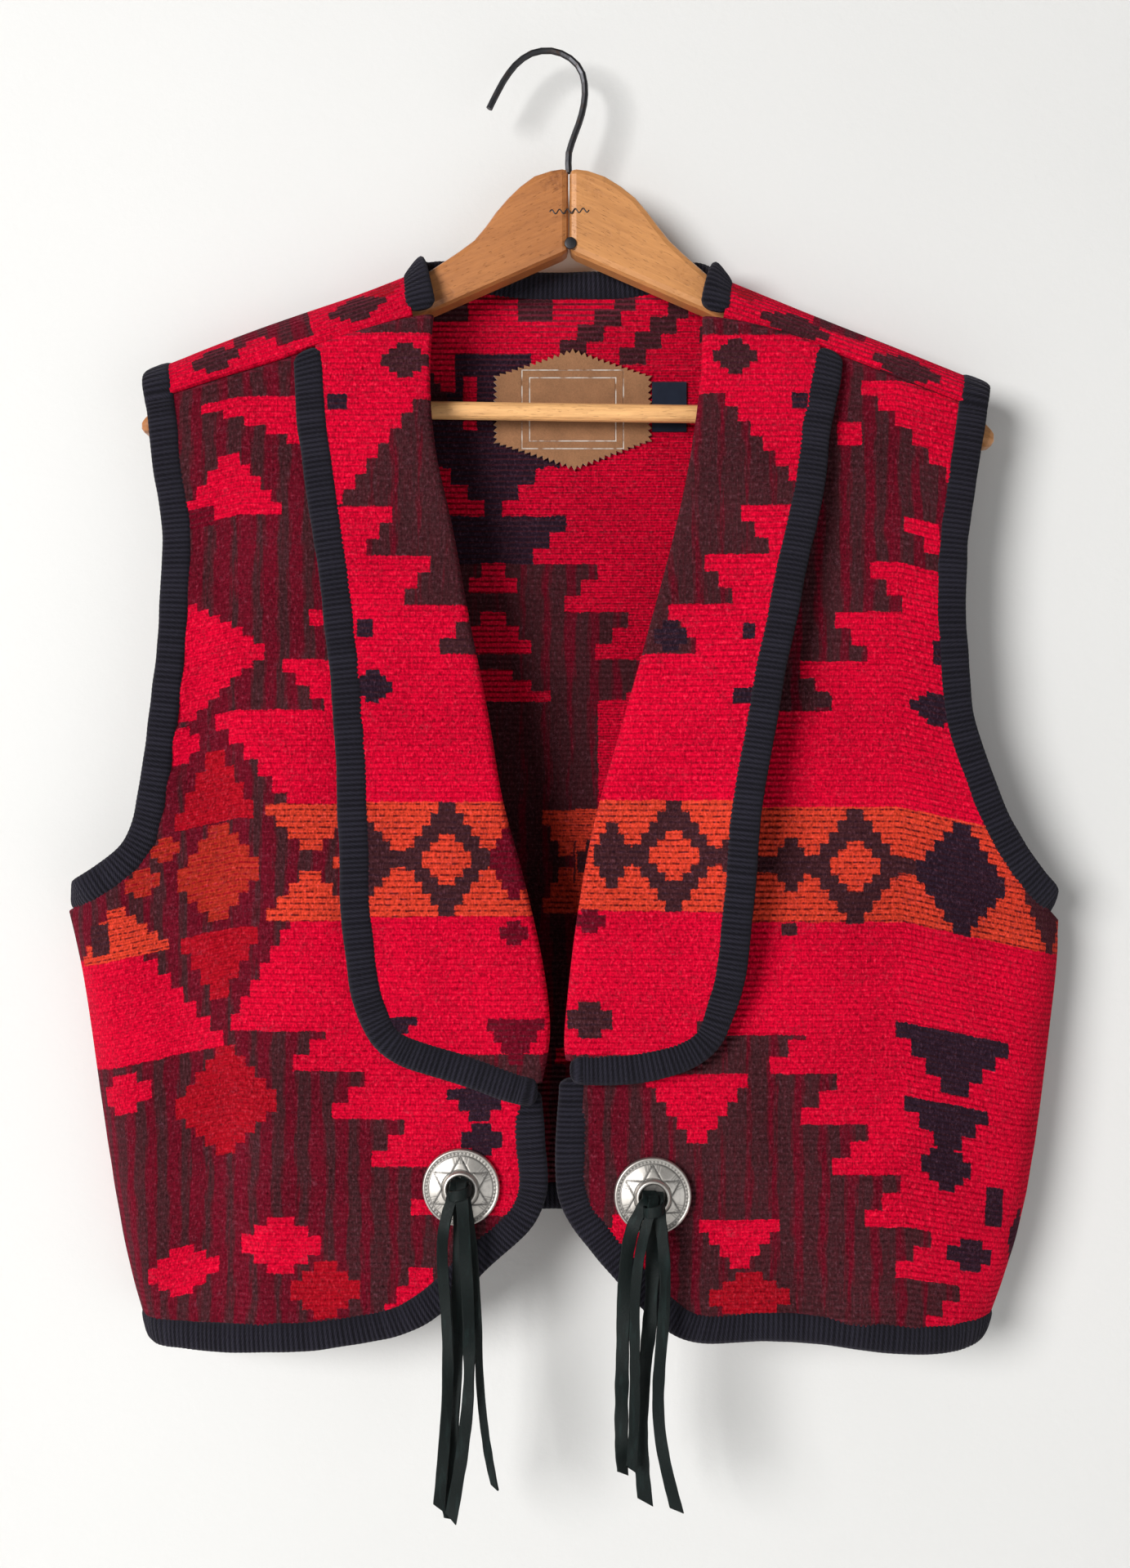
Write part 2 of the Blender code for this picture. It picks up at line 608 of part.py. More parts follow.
def armhole_bindings(side, front, back, yoke):
    """The binding round an armhole, in a front and a back half."""
    last = len(ARMHOLE_PLACES) - 1
    columns = yoke.shape[1]
    for half, panel, way in (("front", front, -1), ("back", back, 1)):
        at_start = half == "back" and side == "right"
        column, inner = (0, 6) if at_start else (panel.shape[1] - 1, panel.shape[1] - 7)
        edge = edge_of(yoke, [(YOKE_STEPS + way * step, columns - 1, YOKE_STEPS + way * step, columns - 2)
                              for step in range(YOKE_STEPS + 1)])
        edge += edge_of(panel, [(row, column, row + 3, inner) for row in range(1, last)])
        edge += squared(edge_of(panel, [(last, column, last + 1, column)]))
        gaps = [SEAM_GAP] * (len(edge) - CORNER_ROWS) + [CORNER_GAP] * CORNER_ROWS
        gaps[-1] = UNDERARM_GAP
        binding(f"armhole_binding_{half}_{side}", edge, gaps=gaps,
                ends=((0.0, way, 0.0), (0.0, -way, 0.0)), trim=SEAM_GAP / 2)


def neck_binding(yokes, back):
    """One band from the right front, round the back of the neck, to the left."""
    steps = 2 * YOKE_STEPS
    lean = [NECK_FLARE * math.sin(math.pi * step / steps) ** 2 for step in range(steps + 1)]
    cells = [(step, 0, step, 1) for step in range(steps + 1)]
    gaps = [SEAM_GAP] * (steps - 1) + [CORNER_GAP] * 2
    columns = [j for j in range(back.shape[1]) if BACK_NECK[0][0] < back[0, j][0] - 0.004
               and back[0, j][0] + 0.004 < BACK_NECK[-1][0]]
    edge = edge_of(yokes["right"], cells) + edge_of(back, [(0, j, 1, j) for j in columns])
    edge += edge_of(yokes["left"], cells)[::-1]
    binding("neck_binding", edge, lean=lean + [0.0] * len(columns) + lean[::-1],
            gaps=gaps + [SEAM_GAP] * len(columns) + gaps[::-1], trim=NECK_END)


def front_binding(side, front):
    """The binding down the front edge below the lapel and round to the side."""
    last = len(front) - 1
    rows = [i for i in range(last) if front[i, 0][2] < OUTLINE[side]["edge"][0][1] + 0.002]
    columns = range(1, front.shape[1])
    edge = edge_of(front, [(i, 0, i, 1) for i in rows] + [(last, 0, last - 1, 1)])
    edge += edge_of(front, [(last, j, last - 1, j) for j in columns])
    edge[-1:] = squared(edge[-1:])
    binding(f"front_binding_{side}", edge, ends=((0.0, 0.0, -1.0), (0.0, 1.0, 0.0)))


def lapel_binding(side, lapel):
    """The binding down the lapel's free edge and along its foot to the fold."""
    last, free = len(lapel) - 1, lapel.shape[1] - 1
    columns = range(free - 1, 1 + ROLL_STEPS // 2, -1)
    edge = edge_of(lapel, [(i, free, i, free - 1) for i in range(last)] + [(last, free, last - 1, free - 1)])
    edge += edge_of(lapel, [(last, j, last - 1, j) for j in columns])
    seam = unit(lapel[0, free] - lapel[0, free - 1])
    square = (seam[2], 0.0, -seam[0]) if side == "left" else (-seam[2], 0.0, seam[0])
    binding(f"lapel_binding_{side}", edge, ends=(square, None), trim=SEAM_GAP)


def back_hem_binding(back):
    last, columns = len(back) - 1, back.shape[1]
    edge = edge_of(back, [(last, j, last - 1, j) for j in range(columns)])
    edge[:1], edge[-1:] = squared(edge[:1]), squared(edge[-1:])
    binding("back_hem_binding", edge, ends=((0.0, 1.0, 0.0), (0.0, -1.0, 0.0)))


def flat_piece(node, outline, thickness, y, kind, bevel=0.0):
    """A flat outline of (x, z) points, extruded along Y about the given y."""
    form = bmesh.new()
    corners = [form.verts.new((x, y - thickness / 2, z)) for x, z in outline]
    face = form.faces.new(corners)
    pushed = bmesh.ops.extrude_face_region(form, geom=[face])
    moved = [item for item in pushed["geom"] if isinstance(item, bmesh.types.BMVert)]
    bmesh.ops.translate(form, vec=(0.0, thickness, 0.0), verts=moved)
    bmesh.ops.recalc_face_normals(form, faces=form.faces)
    mesh = bpy.data.meshes.new(node)
    form.to_mesh(mesh)
    form.free()
    made = add_object(node, mesh, kind, smooth=False)
    if bevel:
        edge = made.modifiers.new("rounded_edges", "BEVEL")
        edge.width = bevel
        edge.segments = 2
        edge.limit_method = "ANGLE"
        edge.angle_limit = math.radians(40.0)
    return made


def label():
    inner_face = back_y(CENTRE_X, -0.18) - CLOTH_THICKNESS / 2
    flat_piece("label_patch", PATCH_OUTLINE, PATCH_THICKNESS, inner_face - 0.0006 - PATCH_THICKNESS / 2, "suede")
    flat_piece("label_tab", TAB_OUTLINE, TAB_THICKNESS, inner_face - 0.0006 - TAB_THICKNESS / 2, "tab")


def front_normal(x, z, step=0.004):
    across = (front_y(x + step, z) - front_y(x - step, z)) / (2 * step)
    down = (front_y(x, z + step) - front_y(x, z - step)) / (2 * step)
    return Vector((across, -1.0, down)).normalized()


def concho(side):
    """A turned silver disc, sewn flat on the front."""
    x, z = CONCHO_CENTRE[side]
    normal = front_normal(x, z)
    node = f"concho_{side}"
    mesh = bpy.data.meshes.new(node)
    points, faces = [], []
    rings = CONCHO_PROFILE[1:-1]
    for radius, height in rings:
        for step in range(CONCHO_SIDES):
            turn = 2 * math.pi * step / CONCHO_SIDES
            points.append((radius * math.cos(turn), radius * math.sin(turn), height))
    for i in range(len(rings) - 1):
        for j in range(CONCHO_SIDES):
            k = (j + 1) % CONCHO_SIDES
            faces.append((i * CONCHO_SIDES + j, i * CONCHO_SIDES + k,
                          (i + 1) * CONCHO_SIDES + k, (i + 1) * CONCHO_SIDES + j))
    faces.append(tuple(range(CONCHO_SIDES))[::-1])
    faces.append(tuple(range(len(points) - CONCHO_SIDES, len(points))))
    mesh.from_pydata(points, [], faces)
    outward(mesh)
    made = add_object(node, mesh, "silver")
    made.rotation_mode = "QUATERNION"
    made.rotation_quaternion = normal.to_track_quat("Z", "Y")
    made.location = Vector((x, front_y(x, z), z)) + normal * (CLOTH_THICKNESS / 2 + 0.0008)
    return made


def thong(name, width, route, y_top, y_end):
    """One flat thong of four sides; a temporary object for its tassel."""
    line = along(route, evenly(2 * len(route)))
    rings = []
    half_width, half_depth = width / 2, THONG_THICKNESS / 2
    tangents = np.gradient(line, axis=0)
    for index, (x, z) in enumerate(line):
        y = y_top + (y_end - y_top) * index / (len(line) - 1)
        tangent = unit(tangents[index])
        across = np.array([-tangent[1], 0.0, tangent[0]]) * half_width
        centre = np.array([x, y, z])
        depth = np.array([0.0, half_depth, 0.0])
        rings.append([centre - across - depth, centre + across - depth, centre + across + depth,
                      centre - across + depth])
    return bar(name, rings, "thong")


def tassel(side):
    """Four thongs fused into the knot that holds them in the concho."""
    x, z = CONCHO_CENTRE[side]
    node = f"tassel_{side}"
    y_top = front_y(x, z) - CLOTH_THICKNESS / 2 - 0.0008 - CONCHO_PROFILE[6][1] - 0.0012
    middle = y_top - THONG_PITCH * 1.5
    bpy.ops.mesh.primitive_uv_sphere_add(segments=10, ring_count=6, radius=1.0, location=(x, middle, z + 0.002))
    knot = bpy.context.object
    knot.scale = (KNOT_RADIUS, THONG_PITCH * 2.0, KNOT_RADIUS)
    bpy.ops.object.transform_apply(location=False, rotation=False, scale=True)
    knot.name = node
    knot.data.name = node
    knot.data.materials.append(finish_of(node, "thong"))
    for collection in list(knot.users_collection):
        collection.objects.unlink(knot)
    bpy.data.collections["western_vest"].objects.link(knot)
    strands = []
    for index, row in enumerate(THONGS[side]):
        y = y_top - THONG_PITCH * index
        strands.append(thong(f"{node}_thong_{index}", row["width"], row["route"], y, y))
    for strand in strands:
        join = knot.modifiers.new(strand.name, "BOOLEAN")
        join.operation = "UNION"
        join.solver = "EXACT"
        join.object = strand
    bpy.context.view_layer.update()
    merged = bpy.data.meshes.new_from_object(knot.evaluated_get(bpy.context.evaluated_depsgraph_get()))
    knot.modifiers.clear()
    knot.data = merged
    for strand in strands:
        bpy.data.objects.remove(strand)
    return knot


def hanger():
    for side in ("right", "left"):
        arm = ARM[side]
        top = [tuple(point) for point in along(arm["top"][:-1], evenly(11))] + [arm["top"][-1]]
        outline = top + arm["tip"] + arm["bottom"]
        flat_piece(f"hanger_arm_{side}", outline, HANGER_THICKNESS, 0.0, "hanger_wood", bevel=HANGER_BEVEL)
    hanger_bar()
    hanger_hook()


def hanger_bar():
    """The round bar, its ends cut to lie along the arms' undersides."""
    start, end = BAR_ENDS["right"], BAR_ENDS["left"]
    way = Vector((end[0] - start[0], 0.0, end[1] - start[1]))
    middle = Vector(((start[0] + end[0]) / 2, 0.0, (start[1] + end[1]) / 2))
    form = bmesh.new()
    bmesh.ops.create_cone(form, cap_ends=True, segments=16, radius1=BAR_RADIUS, radius2=BAR_RADIUS,
                          depth=way.length + 0.10)
    turn = way.to_track_quat("Z", "Y").to_matrix().to_4x4()
    bmesh.ops.transform(form, matrix=turn, verts=form.verts)
    bmesh.ops.translate(form, vec=middle, verts=form.verts)
    for side in ("right", "left"):
        tip, inner = (Vector((x, 0.0, z)) for x, z in ARM[side]["bottom"][:2])
        normal = (tip - inner).cross(Vector((0.0, 1.0, 0.0))).normalized()
        if normal.z < 0:
            normal = -normal
        cut = bmesh.ops.bisect_plane(
            form, geom=form.verts[:] + form.edges[:] + form.faces[:], plane_co=inner - normal * 0.0004,
            plane_no=normal, clear_outer=True,
        )
        rim = [item for item in cut["geom_cut"] if isinstance(item, bmesh.types.BMEdge)]
        bmesh.ops.contextual_create(form, geom=rim)
    bmesh.ops.recalc_face_normals(form, faces=form.faces)
    mesh = bpy.data.meshes.new("hanger_bar")
    form.to_mesh(mesh)
    form.free()
    return add_object("hanger_bar", mesh, "bar_wood")


def hanger_hook():
    """The steel wire hook, rising from the joint of the two arms."""
    line = along(HOOK_ROUTE, evenly(24))
    curve = bpy.data.curves.new("hanger_hook", "CURVE")
    curve.dimensions = "3D"
    curve.bevel_depth = HOOK_RADIUS
    curve.bevel_resolution = 2
    curve.use_fill_caps = True
    spline = curve.splines.new("POLY")
    spline.points.add(len(line) - 1)
    for point, (x, z) in zip(spline.points, line):
        point.co = (x, 0.0, z, 1.0)
    curve.materials.append(finish_of("hanger_hook", "steel"))
    made = bpy.data.objects.new("hanger_hook", curve)
    bpy.data.collections["western_vest"].objects.link(made)
    return made


def main():
    for item in list(bpy.data.objects):
        bpy.data.objects.remove(item)
    vest = bpy.data.collections.new("western_vest")
    bpy.context.scene.collection.children.link(vest)
    back = back_grid()
    cloth("back", back)
    yokes = {}
    for side in ("right", "left"):
        front = front_grid(side)
        lapel, yoke = lapel_grid(side, front), yoke_grid(side)
        yokes[side] = yoke
        cloth(f"front_{side}", front)
        cloth(f"lapel_{side}", lapel)
        cloth(f"yoke_{side}", yoke)
        armhole_bindings(side, front, back, yoke)
        front_binding(side, front)
        lapel_binding(side, lapel)
        concho(side)
        tassel(side)
    neck_binding(yokes, back)
    back_hem_binding(back)
    label()
    hanger()


main()
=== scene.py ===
"""Western vest of brushed blanket wool on a two-piece wooden hanger.

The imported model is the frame: each operator below dresses some of its nodes,
or puts a finer piece in their place. Metres, +Z up. The fronts face -Y, and
right and left are the wearer's, so right lies towards -X.
"""

import math

import bmesh
import bpy
import numpy as np
from bpy.props import FloatProperty, FloatVectorProperty, IntProperty, PointerProperty
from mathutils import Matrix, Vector, kdtree, noise


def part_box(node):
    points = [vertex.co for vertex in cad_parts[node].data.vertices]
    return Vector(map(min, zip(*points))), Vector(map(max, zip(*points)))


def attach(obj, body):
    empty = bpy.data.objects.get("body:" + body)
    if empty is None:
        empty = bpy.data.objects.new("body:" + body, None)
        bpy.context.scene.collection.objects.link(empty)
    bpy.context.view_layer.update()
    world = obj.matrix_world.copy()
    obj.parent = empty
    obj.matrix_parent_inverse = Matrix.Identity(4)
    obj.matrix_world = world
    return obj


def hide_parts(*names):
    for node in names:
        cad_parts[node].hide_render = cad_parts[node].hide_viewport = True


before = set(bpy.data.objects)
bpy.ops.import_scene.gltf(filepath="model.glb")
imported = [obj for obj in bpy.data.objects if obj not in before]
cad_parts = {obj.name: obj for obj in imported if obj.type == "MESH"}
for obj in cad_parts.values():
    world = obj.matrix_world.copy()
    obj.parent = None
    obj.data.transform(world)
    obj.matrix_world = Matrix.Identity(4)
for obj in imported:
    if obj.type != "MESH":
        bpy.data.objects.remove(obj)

bl_info = {
    "name": "Western Vest",
    "version": (1, 0, 0),
    "blender": (4, 5, 0),
    "location": "3D View > Sidebar > Vest",
    "description": "A bound wool vest with conchos and tassels on a wooden hanger",
    "category": "Object",
}

MM = 0.001
SIDES = ("right", "left")
MERGE = 0.00001
CENTRE_X = 0.011

# The hung panels' depth from the hanger's plane, by height
PANEL_DEPTH = {
    "front": {"z": (-0.650, -0.520, -0.400, -0.250, -0.140), "depth": (0.036, 0.033, 0.028, 0.020, 0.015)},
    "back": {"z": (-0.650, -0.450, -0.250, -0.110), "depth": (0.018, 0.018, 0.016, 0.016)},
}
HELD_RIM = 0.014  # how far in from a rim the creases fade out
SHARP_ANGLE = math.radians(55.0)
SIDE_SAG = 0.22
SAG_START = 0.165

# Soft creases: panel, ends (x, z) in millimetres, half width, and how far the
# cloth is pushed back (or, below zero, comes forward)
CREASES = {
    "front_right": [
        ((-196, -400), (-150, -470), 9, 1.6), ((-204, -420), (-185, -560), 11, 1.8),
        ((-176, -430), (-140, -640), 12, -1.4), ((-120, -520), (-132, -640), 8, 1.2),
        ((-225, -470), (-200, -640), 10, -1.3), ((-90, -530), (-60, -630), 9, 1.1),
        ((-182, -250), (-150, -300), 8, 0.9), ((-178, -330), (-170, -610), 20, 4.0),
    ],
    "front_left": [
        ((205, -395), (150, -450), 9, 1.5), ((222, -425), (205, -560), 12, 1.6),
        ((190, -440), (150, -640), 13, -1.3), ((110, -510), (120, -640), 8, 1.3),
        ((240, -470), (222, -640), 10, -1.2), ((80, -530), (62, -640), 8, 1.2),
        ((198, -250), (170, -300), 8, 0.8),
    ],
    "back": [
        ((-120, -180), (-60, -330), 22, 1.4), ((120, -180), (80, -330), 22, 1.2),
        ((-215, -440), (-120, -560), 20, 1.8), ((232, -440), (140, -570), 20, 1.7),
        ((-40, -420), (-60, -590), 16, -1.5), ((40, -400), (20, -590), 15, 1.4),
        ((-180, -300), (-150, -420), 14, 1.2), ((190, -300), (170, -420), 14, 1.1),
    ],
    "lapel_right": [((-100, -230), (-70, -300), 9, 0.6), ((-75, -400), (-40, -500), 10, 0.7)],
    "lapel_left": [((110, -230), (85, -310), 9, 0.7), ((80, -400), (50, -500), 10, 0.8)],
    "yoke_right": [],
    "yoke_left": [],
}


def shape(kind, yarn, x, z, half_width, half_height, steps, keep_x=0, keep_z=0):
    """One stepped motif of the weave, in millimetres on the cloth."""
    return {"kind": kind, "yarn": yarn, "Centre X": x * MM, "Centre Z": z * MM, "Half Width": half_width * MM,
            "Half Height": half_height * MM, "Steps": steps, "Keep X": keep_x, "Keep Z": keep_z}


def diamond(yarn, x, z, half_width, half_height, steps):
    return shape("stepped_shape", yarn, x, z, half_width, half_height, steps)


def block(yarn, x, z, half_width, half_height):
    return shape("stepped_shape", yarn, x, z, half_width, half_height, 1)


def up(yarn, x, z, half_width, height, steps):
    """A stepped triangle with its point up, on a foot at z."""
    return shape("stepped_shape", yarn, x, z, half_width, height, steps, keep_z=1)


def down(yarn, x, z, half_width, height, steps):
    """A stepped triangle with its point down, under a top at z."""
    return shape("stepped_shape", yarn, x, z, half_width, height, steps, keep_z=-1)


def serration(yarn, start, top, tooth, shift, lean, teeth, side, reach):
    """A field with a saw edge, whose teeth of three steps follow a slope."""
    return {"kind": "serrated_field", "yarn": yarn, "Start X": start * MM, "Top Z": top * MM,
            "Tooth Height": tooth * MM, "Shift": shift * MM, "Lean": lean * MM, "Teeth": teeth,
            "Side": side, "Reach": reach * MM}


# The weave's motifs on each panel, laid one over another
WEAVE = {
    # On this front, the duller red and duller orange motifs in the valley by the armhole are red and orange
    # darkened as painted shade.
    "front_right": [
        down("red", -109, -180, 65, 29, 6), up("red", -160, -240, 27, 32, 5),
        block("maroon", -176, -237, 9, 5), diamond("red", -181, -309, 40, 29, 7),
        block("red", -115, -292, 4, 4), down("red", -104, -313, 28, 26, 4),
        down("red", -85, -338, 81, 91, 11), diamond("red", -184, -350, 10, 9, 2),
        up("scarlet", -166, -392, 20, 36, 4), up("red", -232, -504, 71, 84, 10),
        up("red", -97, -497, 60, 100, 12), block("ground", -119, -414, 25, 28),
        down("orange", -117, -385, 23, 23, 4), up("orange", -117, -443, 22, 25, 4),
        block("orange", -103, -414, 3, 3), diamond("rust", -164, -417, 21, 24, 4),
        block("ground", -222, -425, 36, 22), up("orange", -218, -450, 28, 26, 5),
        diamond("rust", -191, -400, 7, 6, 2), diamond("rust", -203, -414, 9, 7, 2),
        block("brown", -229, -438, 6, 8), down("scarlet", -163, -446, 20, 34, 4),
        diamond("scarlet", -160, -531, 27, 27, 5), diamond("red", -216, -518, 16, 10, 2),
        serration("red", -109, -493, 23.5, 19.4, -24, 4, 1, 60), down("aubergine", -33, -525, 16, 16, 3),
        diamond("aubergine", -32, -550, 10, 8, 2), diamond("red", -131, -602, 20, 14, 3),
        diamond("red", -184, -612, 21, 12, 3), diamond("scarlet", -109, -624, 17, 14, 3),
        up("red", -62, -640, 18, 27, 3),
    ],
    "front_left": [
        down("red", 209, -172, 51, 46, 6), block("red", 152, -199, 6, 6), block("red", 188, -244, 9, 4),
        block("red", 194, -252, 5, 4), serration("red", 162, -264, 25, -18, 24, 4, 1, 330),
        block("red", 190, -419, 140, 80), diamond("aubergine", 194, -334, 13, 8, 3),
        block("aubergine", 196, -305, 3, 6), block("brown", 137, -333, 4, 4),
        block("orange", 190, -415, 140, 28.5), block("brown", 160, -415, 60, 4),
        diamond("brown", 153, -416, 22, 28.5, 5), diamond("orange", 153, -416, 12.5, 12.5, 3),
        diamond("aubergine", 207, -416, 23, 28, 5), diamond("brown", 121, -415, 10, 13, 3),
        diamond("brown", 262, -416, 20, 28, 5), block("brown", 120, -447, 4, 3),
        serration("red", 128, -493, 25, 15.4, -27, 6, 1, 330), down("aubergine", 203, -493, 30, 31, 4),
        down("aubergine", 199, -529, 22, 22, 3), diamond("aubergine", 198, -560, 13, 12, 3),
        block("aubergine", 226, -576, 6, 10), diamond("aubergine", 212, -602, 14, 8, 2),
        diamond("aubergine", 250, -590, 10, 14, 3), down("red", 74, -518, 25, 34, 5),
        down("red", 95, -590, 20, 24, 4), diamond("scarlet", 100, -628, 20, 12, 3),
        diamond("red", 37, -606, 14, 20, 3),
    ],
    "lapel_right": [
        down("red", -107, -182, 40, 54, 7), block("red", -85, -166, 36, 17),
        diamond("brown", -71, -163, 12, 9, 3), block("aubergine", -105, -184, 5, 4),
        serration("red", -77, -237, 24.7, 19.1, -19, 3, -1, -140), block("red", -55, -409, 75, 98),
        block("brown", -44, -307, 9, 4), block("aubergine", -90, -298, 4, 4.5),
        diamond("aubergine", -86, -327, 10, 8, 3), block("orange", -51, -412, 75, 28),
        block("brown", -49, -412, 34, 4), diamond("brown", -49, -412, 20, 28, 5),
        diamond("orange", -49, -412, 12, 12.5, 3), diamond("brown", -88, -412, 15, 18, 4),
        diamond("maroon", -16, -412, 12, 20, 4), diamond("maroon", -16, -448, 7, 6, 2),
        down("aubergine", -72, -489, 9, 8, 2), down("maroon", -15, -490, 14, 22, 4),
    ],
    "lapel_left": [
        down("red", 132, -179, 43, 54, 7), block("red", 112, -165, 38, 15),
        diamond("brown", 94, -161, 11, 9, 3), block("aubergine", 126, -184, 4, 4),
        serration("red", 96, -237, 24.7, -18, 20, 3, 1, 160), block("red", 72, -409, 80, 98),
        diamond("aubergine", 61, -302, 8, 8, 2), block("aubergine", 96, -332, 5, 4),
        block("aubergine", 99, -300, 3, 4), block("orange", 60, -410, 80, 27),
        block("brown", 62, -410, 34, 4), diamond("brown", 62, -410, 20, 27, 5),
        diamond("orange", 62, -410, 12, 12, 3), diamond("brown", 32, -410, 9, 16, 3),
        diamond("brown", 89, -410, 8, 8, 2), diamond("maroon", 21, -442, 8, 6, 2),
        diamond("brown", 21, -490, 11, 9, 2), block("brown", 76, -493, 3, 3),
    ],
    # The back's motifs lie to both sides of an axis, and repeat
    "back": [
        block("aubergine", 20, -202.5, 60, 57.5), block("red", 75, -142, 76, 28),
        block("aubergine", 0, -172, 20, 22), down("aubergine", 0, -194, 30, 40, 4),
        block("brown", 22, -124, 9, 9), block("brown", 69, -123, 5.5, 4.5),
        block("brown", 60, -131, 7, 4.5), block("brown", 51, -139, 7, 4.5),
        block("brown", 42, -147, 7, 4.5), block("brown", 97, -127, 5.5, 4.5),
        block("brown", 89, -135, 7, 4.5), block("brown", 81, -143, 7, 4.5),
        block("brown", 73, -151, 7, 4.5), diamond("brown", 122, -140, 14, 12, 3),
        block("red", 12, -176, 3.5, 14), up("brown", 34, -176, 10, 16, 3), block("red", 95, -190, 60, 20),
        up("red", 30, -233, 14, 24, 4), serration("red", 22, -210, 25, 16.3, -26, 5, 1, 152),
        up("red", 0, -275, 12.5, 15.5, 2), up("red", 0, -307, 20, 22, 3), up("red", 0, -332, 30, 17, 3),
        block("red", 105, -360, 50, 29), block("orange", 105, -416, 62, 28),
        diamond("brown", 66, -416, 22, 28, 5), diamond("orange", 66, -416, 12.5, 12.5, 3),
        block("brown", 100, -416, 30, 4), diamond("aubergine", 122, -416, 22, 28, 5),
        up("orange", 38, -443, 12, 24, 3), down("orange", 38, -389, 12, 24, 3),
        block("red", 105, -470, 55, 27), serration("red", 50, -497, 25, 16.3, -26, 6, 1, 152),
        down("aubergine", 150, -500, 30, 31, 4), down("aubergine", 150, -536, 22, 22, 3),
        diamond("scarlet", 0, -520, 26, 27, 5), up("red", 0, -600, 30, 34, 4),
    ],
    # Along the yoke from the neck, and over it from the front seam
    "yoke_right": [
        diamond("brown", 30, 14, 15, 9, 3), diamond("scarlet", 14, 22, 8, 6, 2),
        block("ground", 75, 17, 20, 12), diamond("brown", 106, 10, 12, 8, 2),
        diamond("red", 84, 8, 10, 7, 2), diamond("brown", 60, 42, 22, 12, 3),
        block("ground", 116, 46, 14, 9), block("ground", 20, 50, 12, 8),
    ],
    "yoke_left": [
        diamond("brown", 40, 8, 18, 8, 3), diamond("scarlet", 12, 20, 8, 6, 2),
        block("ground", 62, 20, 14, 7), diamond("brown", 100, 6, 18, 8, 3),
        diamond("brown", 84, 30, 14, 8, 2), diamond("brown", 50, 44, 20, 12, 3),
        block("ground", 110, 48, 16, 9),
    ],
}
GROUND = {
    "front_right": "ground", "front_left": "ground", "lapel_right": "ground", "lapel_left": "ground",
    "back": "ground", "yoke_right": "red", "yoke_left": "red",
}
# How much of each panel's streaked ground is maroon
MAROON_SHARE = {
    "front_right": 0.55, "front_left": 0.37, "lapel_right": 0.24, "lapel_left": 0.28,
    "back": 0.36, "yoke_right": 0.50, "yoke_left": 0.50,
}
BACK_AXIS = -0.0286
BACK_REPEAT = 0.150

# The yarns: streaks of the ground, strands of the bands' yarn, threads of the
# tab, and how the motifs' edges are fuzzed, as noises' scale and reach
STREAK_PITCH = 0.0125
STRAND_PITCH = 0.0011
TAB_THREAD = 0.0006
EDGE_FUZZ = ((2200.0, 0.0017), (750.0, 0.0014), (130.0, 0.0018))
EDGE_SLACK = 0.000001
YOKE_SEAM = {"right": ((-0.063, -0.139), (-0.191, -0.179)), "left": ((0.084, -0.140), (0.210, -0.183))}

# Label: corners of the patch as (x, z), and the stamped frame's half sizes
PATCH_CORNERS = [
    (0.013, -0.148), (-0.028, -0.162), (-0.028, -0.197), (0.014, -0.211), (0.054, -0.196), (0.054, -0.162)]
PATCH_TOOTH = 0.0033
PATCH_TOOTH_DEPTH = 0.0018
PATCH_CENTRE = (0.013, -0.1795)
STAMPED_FRAMES = ((0.0265, 0.0205), (0.0225, 0.0165))

# Conchos: a turned profile of (radius, height) in millimetres
CONCHO_PROFILE = [
    (19.0, 0.4), (18.9, 1.6), (18.3, 2.3), (17.8, 2.3), (17.4, 2.0), (16.2, 2.0), (15.8, 2.4), (12.0, 3.6),
    (9.6, 4.3), (9.0, 4.2), (8.6, 5.0), (8.0, 5.8), (7.2, 6.0), (6.6, 5.6), (6.2, 4.0), (3.0, 3.6),
    (0.0, 3.6),
]
CONCHO_CENTRE = 0.2  # how far short of the middle the last ring stops
CONCHO_RINGS = 74
CONCHO_SPOKES = 168
CONCHO_BEADS = 56
BEAD_RADIUS = 16.8
BEAD_HEIGHT = 0.45
CUT_DEPTH = 0.22
HOLLOW_RADIUS = 6.4
RING_RADII = (15.8, 9.2)
RING_WIDTH = 0.22
STAR_RADIUS = 15.4
STAR_HOLLOW = 8.8
HATCHING_START = 12.2
HATCHES = 84
ENGRAVING_WIDTH = 0.46

